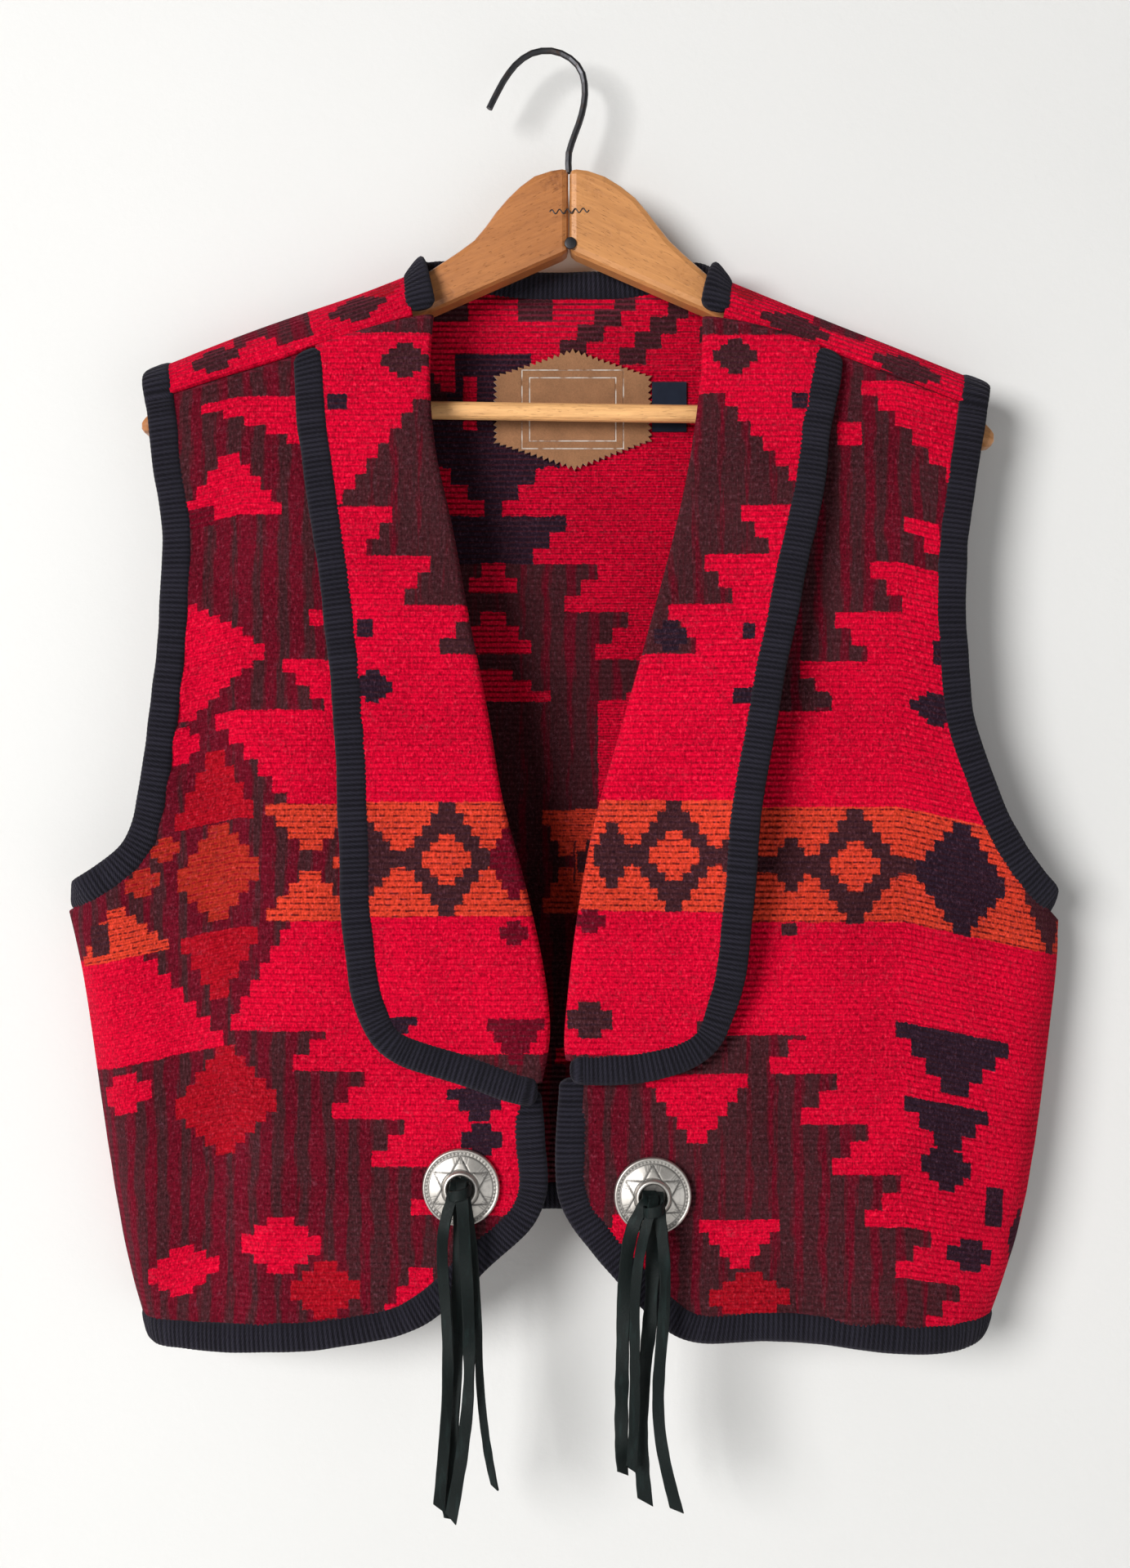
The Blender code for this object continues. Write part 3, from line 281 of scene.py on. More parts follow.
# Tassels: each thong's width and its way down, as (x, z); they hang one
# behind another
THONG_THICKNESS = 0.0012
THONG_PITCH = 0.0023
THONG_STEPS = 80
TWIST = 1.3
KNOT_BEHIND = 0.00115
KNOT_HALF_WIDTH = 0.0046
KNOT_HALF_DEPTH = 0.0050
KNOT_DROP = 0.0030
KNOT_TILT = 0.0012
KNOT_STRAP = 0.0052
THONGS = {
    "right": [
        (0.0068, [(-0.042, -0.570), (-0.042, -0.606), (-0.044, -0.645), (-0.045, -0.690), (-0.049, -0.714),
                  (-0.047, -0.732)]),
        (0.0040, [(-0.040, -0.570), (-0.036, -0.592), (-0.033, -0.630), (-0.033, -0.663), (-0.029, -0.698),
                  (-0.025, -0.716)]),
        (0.0056, [(-0.044, -0.571), (-0.050, -0.588), (-0.051, -0.606), (-0.047, -0.640), (-0.048, -0.680),
                  (-0.052, -0.725)]),
        (0.0060, [(-0.041, -0.571), (-0.039, -0.600), (-0.037, -0.640), (-0.037, -0.670), (-0.041, -0.702),
                  (-0.046, -0.729)]),
    ],
    "left": [
        (0.0072, [(0.052, -0.578), (0.052, -0.600), (0.051, -0.635), (0.047, -0.662), (0.045, -0.695),
                  (0.048, -0.724)]),
        (0.0066, [(0.050, -0.577), (0.041, -0.588), (0.0375, -0.612), (0.037, -0.650), (0.036, -0.688),
                  (0.037, -0.709)]),
        (0.0058, [(0.054, -0.577), (0.057, -0.600), (0.058, -0.625), (0.053, -0.668), (0.055, -0.696),
                  (0.063, -0.726)]),
        (0.0050, [(0.052, -0.578), (0.046, -0.594), (0.042, -0.620), (0.043, -0.660), (0.042, -0.690),
                  (0.041, -0.705)]),
    ],
}


def colour_setting(name, description, default):
    return FloatVectorProperty(name=name, description=description, subtype="COLOR", size=3, default=default)


def length_setting(name, description, default):
    return FloatProperty(name=name, description=description, unit="LENGTH", precision=4, default=default)


def power_setting(name, description, default):
    return FloatProperty(name=name, description=description, unit="POWER", default=default)


def share_setting(name, description, default):
    return FloatProperty(name=name, description=description, subtype="FACTOR", default=default)


class VestSizes(bpy.types.PropertyGroup):
    """Sizes of the vest's finer forms."""

    wrap_pitch: length_setting("Wrap pitch", "From one turn of the binding's yarn to the next", 0.0025)
    wrap_depth: share_setting(
        "Wrap depth", "How far each turn of yarn stands up, as a share of the band's thickness", 0.22)
    wrap_over: length_setting("Wrap over", "How far the binding reaches over the cloth's edge", 0.0030)
    crease: share_setting("Crease", "Share of the cloth's soft creases", 1.0)
    ripple: length_setting("Ripple", "Height of the cloth's small ripples", 0.0007)
    rib_pitch: length_setting("Rib pitch", "From one rib of the weave to the next", 0.0029)
    smoothing: IntProperty(
        name="Smoothing", description="Subdivisions of each cloth wall",
        subtype="UNSIGNED", default=3, min=1, max=3)


class VestColours(bpy.types.PropertyGroup):
    """Colours of the yarns, leathers and silver."""

    red: colour_setting("Red", "The red yarn", (0.700, 0.0016, 0.029))
    # A duller red; in the shaded valley of the wearer's right front it stands in for red as painted shade.
    scarlet: colour_setting("Scarlet", "The duller red yarn", (0.400, 0.0045, 0.013))
    # Orange darkened as painted shade, for the orange motifs in the shaded valley of the wearer's right
    # front.
    rust: colour_setting("Rust", "The duller orange yarn", (0.420, 0.026, 0.014))
    orange: colour_setting("Orange", "The orange yarn", (0.720, 0.052, 0.024))
    maroon: colour_setting("Maroon", "The maroon yarn", (0.150, 0.003, 0.014))
    brown: colour_setting("Brown", "The brown yarn", (0.052, 0.0165, 0.0195))
    aubergine: colour_setting("Aubergine", "The darkest yarn", (0.021, 0.012, 0.022))
    binding: colour_setting("Binding", "The yarn wrapped over the edges", (0.0060, 0.0056, 0.0085))
    suede: colour_setting("Suede", "The label patch", (0.265, 0.128, 0.062))
    silver: colour_setting("Silver", "The conchos", (0.600, 0.570, 0.530))
    thong: colour_setting("Thong", "The tassels' leather", (0.0030, 0.0065, 0.0062))


class HangerColours(bpy.types.PropertyGroup):
    """Colours of the hanger's woods and wire."""

    right_wood: colour_setting("Right arm", "The wearer's right arm of the hanger", (0.470, 0.180, 0.053))
    left_wood: colour_setting("Left arm", "The wearer's left arm of the hanger", (0.600, 0.270, 0.090))
    # Pale wood, made brighter than its own as painted light, for the shade that the lapel and arms cast on
    # the bar.
    bar_wood: colour_setting("Bar", "The hanger's bar", (0.900, 0.500, 0.200))
    wire: colour_setting("Wire", "The hook's wire", (0.055, 0.055, 0.060))


class StageSettings(bpy.types.PropertyGroup):
    """The wall, the light and the camera."""

    wall_y: length_setting("Wall", "How far behind the hook the wall stands", 0.0245)
    camera_distance: length_setting("Camera distance", "From the camera to the hook's plane", 0.80)
    camera_x: length_setting("Camera X", "The camera's X", 0.0090)
    camera_z: length_setting("Camera Z", "The camera's height", -0.3751)
    lens: FloatProperty(name="Lens", description="Focal length of the camera", unit="CAMERA", default=35.73)
    key_power: power_setting("Key light", "Power of the main soft light", 142.0)
    fill_power: power_setting("Fill light", "Power of the fill light", 17.0)
    back_power: power_setting("Back light", "Power of the light behind", 9.0)
    sky: share_setting("Sky", "Strength of the light from all round", 0.14)


def action(name, turned=False):
    """An operator of Wire that adds a math node."""
    def act(self, other):
        return self.tree.math(name, *((other, self) if turned else (self, other)))
    return act


class Wire:
    """A node's output, with plain arithmetic."""

    def __init__(self, tree, socket):
        self.tree, self.socket = tree, socket

    __add__, __mul__, __truediv__ = action("ADD"), action("MULTIPLY"), action("DIVIDE")
    __sub__, __rsub__ = action("SUBTRACT"), action("SUBTRACT", turned=True)
    __gt__, __lt__ = action("GREATER_THAN"), action("LESS_THAN")

    def __abs__(self):
        return self.tree.math("ABSOLUTE", self)

    def floor(self):
        return self.tree.math("FLOOR", self)

    def wave(self, kind="SINE"):
        return self.tree.math(kind, self)


class Tree:
    """A node tree, with short ways to add its nodes."""

    def __init__(self, tree):
        self.tree = tree

    def add(self, kind, inputs=None, **settings):
        made = self.tree.nodes.new(kind)
        for name, value in settings.items():
            setattr(made, name, value)
        for name, value in (inputs or {}).items():
            self.feed(made.inputs[name], value)
        return made

    def wires(self, kind, inputs=None, **settings):
        """A new node's outputs, by name."""
        return {socket.name: Wire(self, socket) for socket in self.add(kind, inputs, **settings).outputs}

    def feed(self, socket, value):
        if isinstance(value, Wire):
            self.tree.links.new(value.socket, socket)
        else:
            socket.default_value = value

    def math(self, operation, *values):
        made = self.add("ShaderNodeMath", dict(enumerate(values)), operation=operation)
        return Wire(self, made.outputs[0])

    def vector(self, operation, inputs):
        return Wire(self, self.add("ShaderNodeVectorMath", inputs, operation=operation).outputs[0])

    def mix(self, factor, first, second, blend="MIX"):
        """Two colours mixed by a factor."""
        made = self.add("ShaderNodeMix", {0: factor}, data_type="RGBA", blend_type=blend)
        self.feed(made.inputs[6], first)
        self.feed(made.inputs[7], second)
        return Wire(self, made.outputs[2])

    def ramp(self, value, low, high):
        """0 below low, 1 above high, and smooth between them."""
        return self.wires("ShaderNodeMapRange", {"Value": value, "From Min": low, "From Max": high},
                          interpolation_type="SMOOTHSTEP")["Result"]

    def clamp(self, value):
        return self.wires("ShaderNodeClamp", {"Value": value})["Result"]

    def grey(self, value):
        return self.wires("ShaderNodeCombineXYZ", {"X": value, "Y": value, "Z": value})["Vector"]

    def parts(self, place):
        return tuple(self.wires("ShaderNodeSeparateXYZ", {"Vector": place}).values())

    def noise(self, place, scale, detail=2.0, distortion=0.0, roughness=0.5, output="Fac"):
        inputs = {
            "Vector": place, "Scale": scale, "Detail": detail,
            "Distortion": distortion, "Roughness": roughness}
        return self.wires("ShaderNodeTexNoise", inputs)[output]

    def stretched(self, place, x, y=1.0, z=1.0, turn=0.0):
        """The place scaled apart along its axes, and turned about Z."""
        inputs = {"Vector": place, "Scale": (x, y, z), "Rotation": (0.0, 0.0, turn)}
        return self.wires("ShaderNodeMapping", inputs)["Vector"]

    def group(self, name, inputs):
        return self.wires("ShaderNodeGroup", inputs, node_tree=GROUPS[name]())


class Finish(Tree):
    """A new material's tree, with its Principled shader."""

    def __init__(self, name, **sockets):
        self.material = bpy.data.materials.new(name)
        self.material.use_nodes = True
        super().__init__(self.material.node_tree)
        self.shader = self.tree.nodes["Principled BSDF"]
        for socket, value in sockets.items():
            self.set(socket.replace("_", " "), value)

    def set(self, socket, value):
        self.feed(self.shader.inputs[socket], value)

    def bump(self, height, distance):
        self.set("Normal", self.wires("ShaderNodeBump", {"Height": height, "Distance": distance})["Normal"])

    def object_place(self):
        return self.wires("ShaderNodeTexCoord")["Object"]

    def cloth_place(self):
        return self.wires("ShaderNodeUVMap", uv_map="cloth")["UV"]


def rgba(colour, scale=1.0):
    return (*(scale * part for part in colour), 1.0)


SOCKET_KINDS = dict.fromkeys(("Colour", "Brown", "Maroon", "Line", "Nap", "Light", "Dark"), "Color")
SOCKET_KINDS["Place"] = "Vector"
GROUPS = {}


def add_sockets(group, side, names):
    for name in names:
        kind = f"NodeSocket{SOCKET_KINDS.get(name, 'Float')}"
        group.interface.new_socket(name=name, in_out=side, socket_type=kind)


def node_group(inputs):
    """Turns a builder into one that makes its node group once and then finds it."""
    def wrap(build):
        def found():
            group = bpy.data.node_groups.get(build.__name__)
            if group is None:
                group = bpy.data.node_groups.new(build.__name__, "ShaderNodeTree")
                add_sockets(group, "INPUT", inputs.split(", "))
                tree = Tree(group)
                made = build(tree, tree.wires("NodeGroupInput"))
                add_sockets(group, "OUTPUT", made)
                tree.add("NodeGroupOutput", made)
            return group
        GROUPS[build.__name__] = found
        return found
    return wrap


@node_group("Place, Centre X, Centre Z, Half Width, Half Height, Steps, Keep X, Keep Z")
def stepped_shape(tree, given):
    """Mask of a diamond in steps, or of the part of it on one side."""
    x, z, _ = tree.parts(given["Place"])
    count, kept = 0.0, 1.0
    for place, axis, half in ((x, "X", "Half Width"), (z, "Z", "Half Height")):
        off = place - given[f"Centre {axis}"]
        count = (abs(off) * given["Steps"] / given[half]).floor() + count
        kept = (off * given[f"Keep {axis}"] > -EDGE_SLACK) * kept
    return {"Mask": (count < given["Steps"] - 0.5) * kept}


@node_group("Place, Start X, Top Z, Tooth Height, Shift, Lean, Teeth, Side, Reach")
def serrated_field(tree, given):
    """Mask of a field whose sloping edge is cut into teeth of three steps."""
    x, z, _ = tree.parts(given["Place"])
    down_by = (given["Top Z"] - z) / given["Tooth Height"]
    tooth = down_by.floor()
    step = ((down_by - tooth) * 3.0).floor() / 3.0
    edge = given["Start X"] + tooth * given["Shift"] + step * given["Lean"]
    past = (x - edge) * given["Side"]
    short = (given["Reach"] - x) * given["Side"]
    return {"Mask": (past > 0.0) * (short > 0.0) * (down_by > 0.0) * (down_by < given["Teeth"])}


@node_group("Place, Brown, Maroon, Share")
def streaked_ground(tree, given):
    """Brown and maroon yarns in upright streaks with wavering edges."""
    place = given["Place"]
    waver = tree.noise(tree.stretched(place, 60.0, 34.0), 1.0)
    phase = tree.parts(place)[0] * (2 * math.pi / STREAK_PITCH) + waver * 4.0
    region = tree.noise(tree.stretched(place, 16.0, 7.0), 1.0, detail=1.0)
    region = (region - 0.5) + (given["Share"] - 0.5)
    thread = tree.noise(tree.stretched(place, 700.0, 60.0), 1.0)
    stripe = phase.wave() + region * 4.0 + (thread - 0.5) * 1.6
    share = tree.ramp(stripe, -0.55, 0.55) * 0.80 + (thread - 0.42) * 0.6
    return {"Colour": tree.mix(tree.clamp(share), given["Brown"], given["Maroon"])}


@node_group("Place, Colour, Line, Pitch, Strength, Dash")
def ribbed_yarn(tree, given):
    """A yarn's colour with the thin dark lines between the weave's ribs."""
    place, dash = given["Place"], given["Dash"]
    waver = tree.noise(tree.stretched(place, 120.0, 120.0), 1.0)
    rows = tree.parts(place)[1] / given["Pitch"] + waver * 0.5
    line = tree.ramp(abs(tree.math("FRACT", rows) - 0.5), 0.27, 0.06)
    dashes = tree.ramp(tree.noise(tree.stretched(place, 520.0, 170.0), 1.0, detail=1.0), 0.42, 0.60)
    mask = line * (dashes * dash + (1.0 - dash)) * given["Strength"]
    return {"Colour": tree.mix(mask, given["Colour"], given["Line"])}


@node_group("Place, Colour, Nap, Pitch, Rib")
def brushed_nap(tree, given):
    """Brushed wool: mottled colour, loose hairs and fibre tips lightened as a painted highlight, and a soft
    height.
    """
    place = given["Place"]
    broad = tree.noise(place, 22.0)
    tufts = tree.noise(place, 420.0, detail=3.0, roughness=0.65)
    fibres = tree.noise(tree.stretched(place, 1.0, 0.55), 950.0, detail=3.0, roughness=0.65)
    value = tree.math("MAXIMUM", fibres * 2.10 + tufts * 1.50 + broad * 0.60 - 1.12, 0.12)
    colour = tree.mix(1.0, given["Colour"], tree.grey(value), blend="MULTIPLY")
    hairs = 0.0
    for scale, turn, width in ((210.0, 0.5, 0.020), (330.0, 2.1, 0.016)):
        field = tree.noise(tree.stretched(place, 1.0, turn=turn), scale, detail=1.5, distortion=1.2)
        hairs = tree.ramp(abs(field - 0.5), width, 0.0) + hairs
    hairs = hairs * tree.ramp(tree.noise(place, 120.0), 0.42, 0.70) * 0.42
    # The hairs and the pale fibre tips take the lighter colour: a painted highlight on the nap's real fibres.
    pale = tree.ramp(fibres + tufts * 0.5, 0.80, 1.02)
    rib = (tree.parts(place)[1] * (2 * math.pi) / given["Pitch"]).wave("COSINE")
    height = rib * given["Rib"] + fibres * 1.1 + (tufts * 0.9 + hairs * 0.5)
    return {"Colour": tree.mix(tree.clamp(hairs + pale * 0.60), colour, given["Nap"]), "Height": height}


@node_group("Place, Pitch, Colour, Light")
def wrapped_yarn(tree, given):
    """Yarn wound over an edge: its turns, their twist and stray fibres, with the crests of turns and strands
    painted lighter and the grooves darker as painted highlight and shade.
    """
    across, along, _ = tree.parts(given["Place"])
    turns = along / given["Pitch"]
    each = tree.wires("ShaderNodeTexWhiteNoise", {"W": turns.floor()}, noise_dimensions="1D")["Value"]
    # Painted highlight and shade: each turn and each strand is lighter on its crest and darker between,
    # beside each turn's own tone and the fibres.
    ridge = (turns * (2 * math.pi)).wave("COSINE")
    strand = ((turns * 2.0 + across / STRAND_PITCH) * (2 * math.pi)).wave()
    fibre = tree.noise(given["Place"], 1500.0, detail=3.0, roughness=0.7)
    light = ridge * 0.42 + strand * 0.10 + (each - 0.5) * 0.35 + (fibre - 0.45) * 1.3
    share = tree.clamp(light + 0.30)
    return {"Colour": tree.mix(share, given["Colour"], given["Light"]), "Height": strand * 0.25 + fibre * 0.8}


@node_group("Place, Colour, Dark, Worn")
def wood_grain(tree, given):
    """Straight grain with pores, growth bands and worn, darker patches."""
    place = given["Place"]
    bend = tree.noise(place, 14.0, detail=1.0)
    bands = tree.noise(tree.stretched(place, 1.0, 1.0, 11.0), 46.0, detail=3.0, distortion=0.8)
    pore = tree.ramp(tree.noise(tree.stretched(place, 0.14), 1500.0), 0.60, 0.72)
    worn = tree.ramp(tree.noise(place, 60.0, detail=4.0, roughness=0.7), 0.55, 0.70)
    share = bands * 0.85 + bend * 0.35 - 0.35 + pore * 0.30 + worn * given["Worn"]
    height = bands * 0.6 - pore * 0.8 - worn * 0.5
    return {"Colour": tree.mix(tree.clamp(share), given["Colour"], given["Dark"]), "Height": height}


def wool(panel, rib=0.45, lines=0.38):
    """Brushed wool with the panel's own part of the pattern, and a painted highlight on its nap."""
    sizes, colours = bpy.context.scene.vest_sizes, bpy.context.scene.vest_colours
    tree = Finish(f"wool_{panel}", Roughness=1.0, Sheen_Weight=0.16, Sheen_Roughness=0.4,
                  Sheen_Tint=(1.0, 0.12, 0.22, 1.0), Specular_IOR_Level=0.03)
    place = pushed = tree.cloth_place()
    for scale, amount in EDGE_FUZZ:
        centred = tree.vector("SUBTRACT", {0: tree.noise(place, scale, output="Color"), 1: (0.5, 0.5, 0.5)})
        pushed = tree.vector("ADD", {0: pushed, 1: tree.vector("SCALE", {0: centred, "Scale": amount})})
    if panel == "back":
        pushed = mirrored_place(tree, pushed)
    yarns = yarn_colours(tree, place, colours, sizes, lines, MAROON_SHARE[panel])
    colour = yarns[GROUND[panel]]
    for motif in WEAVE[panel]:
        inputs = {socket: value for socket, value in motif.items() if socket not in ("kind", "yarn")}
        mask = tree.group(motif["kind"], {"Place": pushed, **inputs})["Mask"]
        colour = tree.mix(mask, colour, yarns[motif["yarn"]])
    # A lighter, pinker copy of the colour, painted on the nap's hairs and fibre tips as a highlight.
    pale = tree.mix(1.0, colour, (0.110, 0.045, 0.066, 1.0), blend="ADD")
    nap = tree.group("brushed_nap", {
        "Place": place, "Colour": colour, "Nap": pale, "Pitch": sizes.rib_pitch, "Rib": rib})
    tree.set("Base Color", nap["Colour"])
    tree.bump(nap["Height"], 0.0011)
    return tree.material


def mirrored_place(tree, place):
    """The back's places, folded to and fro about the pattern's axis."""
    x, z, _ = tree.parts(place)
    folded = tree.math("PINGPONG", x - BACK_AXIS, BACK_REPEAT)
    return tree.wires("ShaderNodeCombineXYZ", {"X": folded, "Y": z})["Vector"]


def yarn_colours(tree, place, colours, sizes, lines, maroon_share):
    """Each yarn's colour, by name."""
    dark_red = rgba(colours.red, 0.42)
    dark_orange = (0.22 * colours.orange[0], 0.25 * colours.orange[1], 0.5 * colours.orange[2], 1.0)
    yarns = {}
    for name, line, strength, dash in (
        # The duller red and orange stand partly for red and orange in shade: painted shade.
        ("red", dark_red, lines, 0.75), ("scarlet", dark_red, 0.5, 0.7), ("rust", dark_red, 0.8, 0.8),
        ("orange", dark_orange, 1.0, 0.8), ("maroon", rgba(colours.brown), 0.5, 0.8),
        ("brown", rgba(colours.aubergine), 0.6, 0.8), ("aubergine", rgba(colours.brown), 0.5, 0.8),
    ):
        yarns[name] = tree.group("ribbed_yarn", {
            "Place": place, "Colour": rgba(getattr(colours, name)), "Line": line, "Pitch": sizes.rib_pitch,
            "Strength": strength, "Dash": dash})["Colour"]
    yarns["ground"] = tree.group("streaked_ground", {
        "Place": place, "Brown": rgba(colours.brown), "Maroon": rgba(colours.maroon),
        "Share": maroon_share})["Colour"]
    return yarns


def binding_yarn():
    sizes, colours = bpy.context.scene.vest_sizes, bpy.context.scene.vest_colours
    tree = Finish("binding_yarn", Roughness=0.95, Sheen_Weight=0.10, Sheen_Roughness=0.5,
                  Sheen_Tint=(0.75, 0.70, 0.80, 1.0), Specular_IOR_Level=0.08)
    # The lighter colour is painted on the wraps' crests as a highlight, and also gives each turn's own tone
    # and the fibres.
    yarn = tree.group("wrapped_yarn", {
        "Place": tree.cloth_place(), "Pitch": sizes.wrap_pitch, "Colour": rgba(colours.binding),
        "Light": rgba(colours.binding, 3.6)})
    tree.set("Base Color", yarn["Colour"])
    tree.bump(yarn["Height"], 0.0004)
    return tree.material


def wood(name, colour, turn, worn=0.0):
    """Varnished wood, its grain turned about Y to lie along the piece."""
    tree = Finish(name, Coat_Weight=0.35, Coat_Roughness=0.28, Specular_IOR_Level=0.4)
    inputs = {"Vector": tree.object_place(), "Rotation": (0.0, turn, 0.0)}
    turned = tree.wires("ShaderNodeMapping", inputs)["Vector"]
    dark = (0.42 * colour[0], 0.33 * colour[1], 0.28 * colour[2], 1.0)
    grain = tree.group("wood_grain", {"Place": turned, "Colour": rgba(colour), "Dark": dark, "Worn": worn})
    tree.set("Base Color", grain["Colour"])
    tree.set("Roughness", tree.noise(turned, 300.0) * 0.3 + 0.35)
    tree.bump(grain["Height"], 0.0002)
    return tree.material


def steel_wire(colour):
    tree = Finish("steel_wire", Metallic=0.9)
    patches = tree.noise(tree.object_place(), 260.0, detail=4.0, roughness=0.7)
    tree.set("Base Color", tree.mix(tree.ramp(patches, 0.50, 0.72), rgba(colour), (0.060, 0.040, 0.032, 1.0)))
    tree.set("Roughness", patches * 0.5 + 0.2)
    tree.bump(patches, 0.0001)
    return tree.material


def suede(colour):
    """Suede with a stamped double frame, worn pale in places."""
    tree = Finish("suede", Roughness=0.95, Sheen_Weight=0.3, Specular_IOR_Level=0.1)
    place = tree.object_place()
    mottle = tree.noise(place, 90.0, detail=5.0, roughness=0.65)
    fine = tree.noise(place, 1400.0)
    base = tree.mix(1.0, rgba(colour), tree.grey(mottle * 0.65 + fine * 0.45 + 0.42), blend="MULTIPLY")
    x, _, z = tree.parts(place)
    lines = 0.0
    for half_width, half_height in STAMPED_FRAMES:
        aside = abs(x - PATCH_CENTRE[0]) - half_width
        edge = abs(tree.math("MAXIMUM", aside, abs(z - PATCH_CENTRE[1]) - half_height))
        lines = tree.ramp(edge, 0.00045, 0.00015) + lines
    gone = tree.ramp(tree.noise(place, 160.0, detail=3.0), 0.36, 0.56)
    tree.set("Base Color", tree.mix(lines * gone * 0.75, base, (0.72, 0.66, 0.60, 1.0)))
    tree.bump(fine * 0.7 - lines * 1.2, 0.0003)
    return tree.material


def woven_tab():
    tree = Finish("woven_tab", Roughness=0.75, Specular_IOR_Level=0.25)
    place = tree.object_place()
    x, _, z = tree.parts(place)
    weave = (x * (2 * math.pi / TAB_THREAD)).wave() * (z * (2 * math.pi / TAB_THREAD)).wave()
    share = weave * 0.2 + tree.noise(place, 200.0, detail=3.0) * 0.6
    tree.set("Base Color", tree.mix(share, (0.006, 0.010, 0.022, 1.0), (0.024, 0.034, 0.062, 1.0)))
    tree.bump(weave, 0.0001)
    return tree.material


def antique_silver(colour):
    """Silver, dark in its engraving and rubbed bright on what stands up."""
    tree = Finish("antique_silver")
    cut = tree.wires("ShaderNodeAttribute", attribute_name="engraving")["Fac"]
    tarnish = tree.noise(tree.object_place(), 420.0, detail=4.0, roughness=0.7)
    grime = tree.clamp(cut * 0.95 + tree.ramp(tarnish, 0.45, 0.80) * 0.28)
    tree.set("Base Color", tree.mix(grime, rgba(colour), (0.045, 0.042, 0.040, 1.0)))
    tree.set("Roughness", tarnish * 0.25 + 0.32)
    tree.set("Metallic", 1.0 - cut * 0.5)
    tree.bump(tarnish, 0.00006)
    return tree.material


def thong_leather(colour):
    tree = Finish("thong_leather", Specular_IOR_Level=0.2)
    place = tree.object_place()
    grain = tree.noise(place, 900.0, detail=4.0, roughness=0.65)
    scuffs = tree.ramp(tree.noise(tree.stretched(place, 1.0, 1.0, 0.2), 420.0, detail=3.0), 0.50, 0.75)
    tree.set("Base Color", tree.mix(scuffs * 0.6, rgba(colour), rgba(colour, 3.2)))
    tree.set("Roughness", grain * 0.35 + 0.45)
    tree.bump(grain, 0.00015)
    return tree.material


def deselect():
    if bpy.context.mode != "OBJECT":
        bpy.ops.object.mode_set(mode="OBJECT")
    bpy.ops.object.select_all(action="DESELECT")


def make_active(piece):
    deselect()
    piece.select_set(True)
    bpy.context.view_layer.objects.active = piece


def settle(piece, material, *nodes, slot=None):
    """Gives a finished piece its material, its body and the nodes it replaces."""
    make_active(piece)
    bpy.ops.object.transform_apply(location=True, rotation=True, scale=True)
    piece.data.materials.clear()
    piece.data.materials.append(material)
    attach(piece, "root")
    if nodes:
        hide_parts(*nodes)


def object_of(data):
    made = bpy.data.objects.new(data.name, data)
    bpy.context.scene.collection.objects.link(made)
    return made


def clean(mesh, merged=True):
    """Merges doubles and turns the faces outwards."""
    form = bmesh.new()
    form.from_mesh(mesh)
    if merged:
        bmesh.ops.remove_doubles(form, verts=form.verts, dist=MERGE)
    bmesh.ops.recalc_face_normals(form, faces=form.faces)
    form.to_mesh(mesh)
    form.free()


def new_mesh(name, points, faces, merged=True):
    mesh = bpy.data.meshes.new(name)
    mesh.from_pydata([tuple(point) for point in points], [], faces)
    clean(mesh, merged)
    mesh.shade_smooth()
    return mesh


def tube_faces(rings, count, first=0):
    """The faces of a tube of rings of points, closed at both ends."""
    spots = [[first + ring * count + step for step in range(count)] for ring in range(rings)]
    faces = [(near[j], near[(j + 1) % count], far[(j + 1) % count], far[j])
             for near, far in zip(spots, spots[1:]) for j in range(count)]
    return faces + [tuple(spots[0][::-1]), tuple(spots[-1])]


def distances(points):
    """How far along a line of points each of them is."""
    return np.concatenate([[0.0], np.cumsum(np.linalg.norm(np.diff(points, axis=0), axis=1))])


def apply_modifiers(piece):
    make_active(piece)
    for modifier in list(piece.modifiers):
        bpy.ops.object.modifier_apply(modifier=modifier.name)


def write_uv(mesh, places):
    """Stores each point's place on the cloth as the mesh's UV map."""
    layer = mesh.uv_layers.new(name="cloth")
    corners = np.empty(len(mesh.loops), dtype=np.int32)
    mesh.loops.foreach_get("vertex_index", corners)
    layer.data.foreach_set("uv", np.asarray(places, dtype=np.float32)[corners].ravel())


def points_of(mesh):
    points = np.empty(len(mesh.vertices) * 3)
    mesh.vertices.foreach_get("co", points)
    return points.reshape(-1, 3)


def cloth_wall(panel):
    """The panel's own wall, smoothed: (piece, a search tree of its rim)."""
    form = bmesh.new()
    form.from_mesh(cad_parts[panel].data)
    bmesh.ops.remove_doubles(form, verts=form.verts, dist=MERGE)
    bmesh.ops.recalc_face_normals(form, faces=form.faces)
    bmesh.ops.join_triangles(form, faces=form.faces, angle_face_threshold=1.2, angle_shape_threshold=2.0,
                             topology_influence=2.0)
    crease = form.edges.layers.float.new("crease_edge")
    rim = set()
    for edge in form.edges:
        if len(edge.link_faces) == 2 and edge.calc_face_angle() > SHARP_ANGLE:
            edge[crease] = 1.0
            rim.update(vertex.co.to_tuple(7) for vertex in edge.verts)
    mesh = bpy.data.meshes.new(f"wool_{panel}")
    form.to_mesh(mesh)
    form.free()
    near = kdtree.KDTree(len(rim))
    for index, point in enumerate(sorted(rim)):
        near.insert(point, index)
    near.balance()
    piece = object_of(mesh)
    levels = bpy.context.scene.vest_sizes.smoothing - (1 if panel == "back" else 0)
    smooth = piece.modifiers.new("smooth", "SUBSURF")
    smooth.levels = smooth.render_levels = levels
    apply_modifiers(piece)
    return piece, near


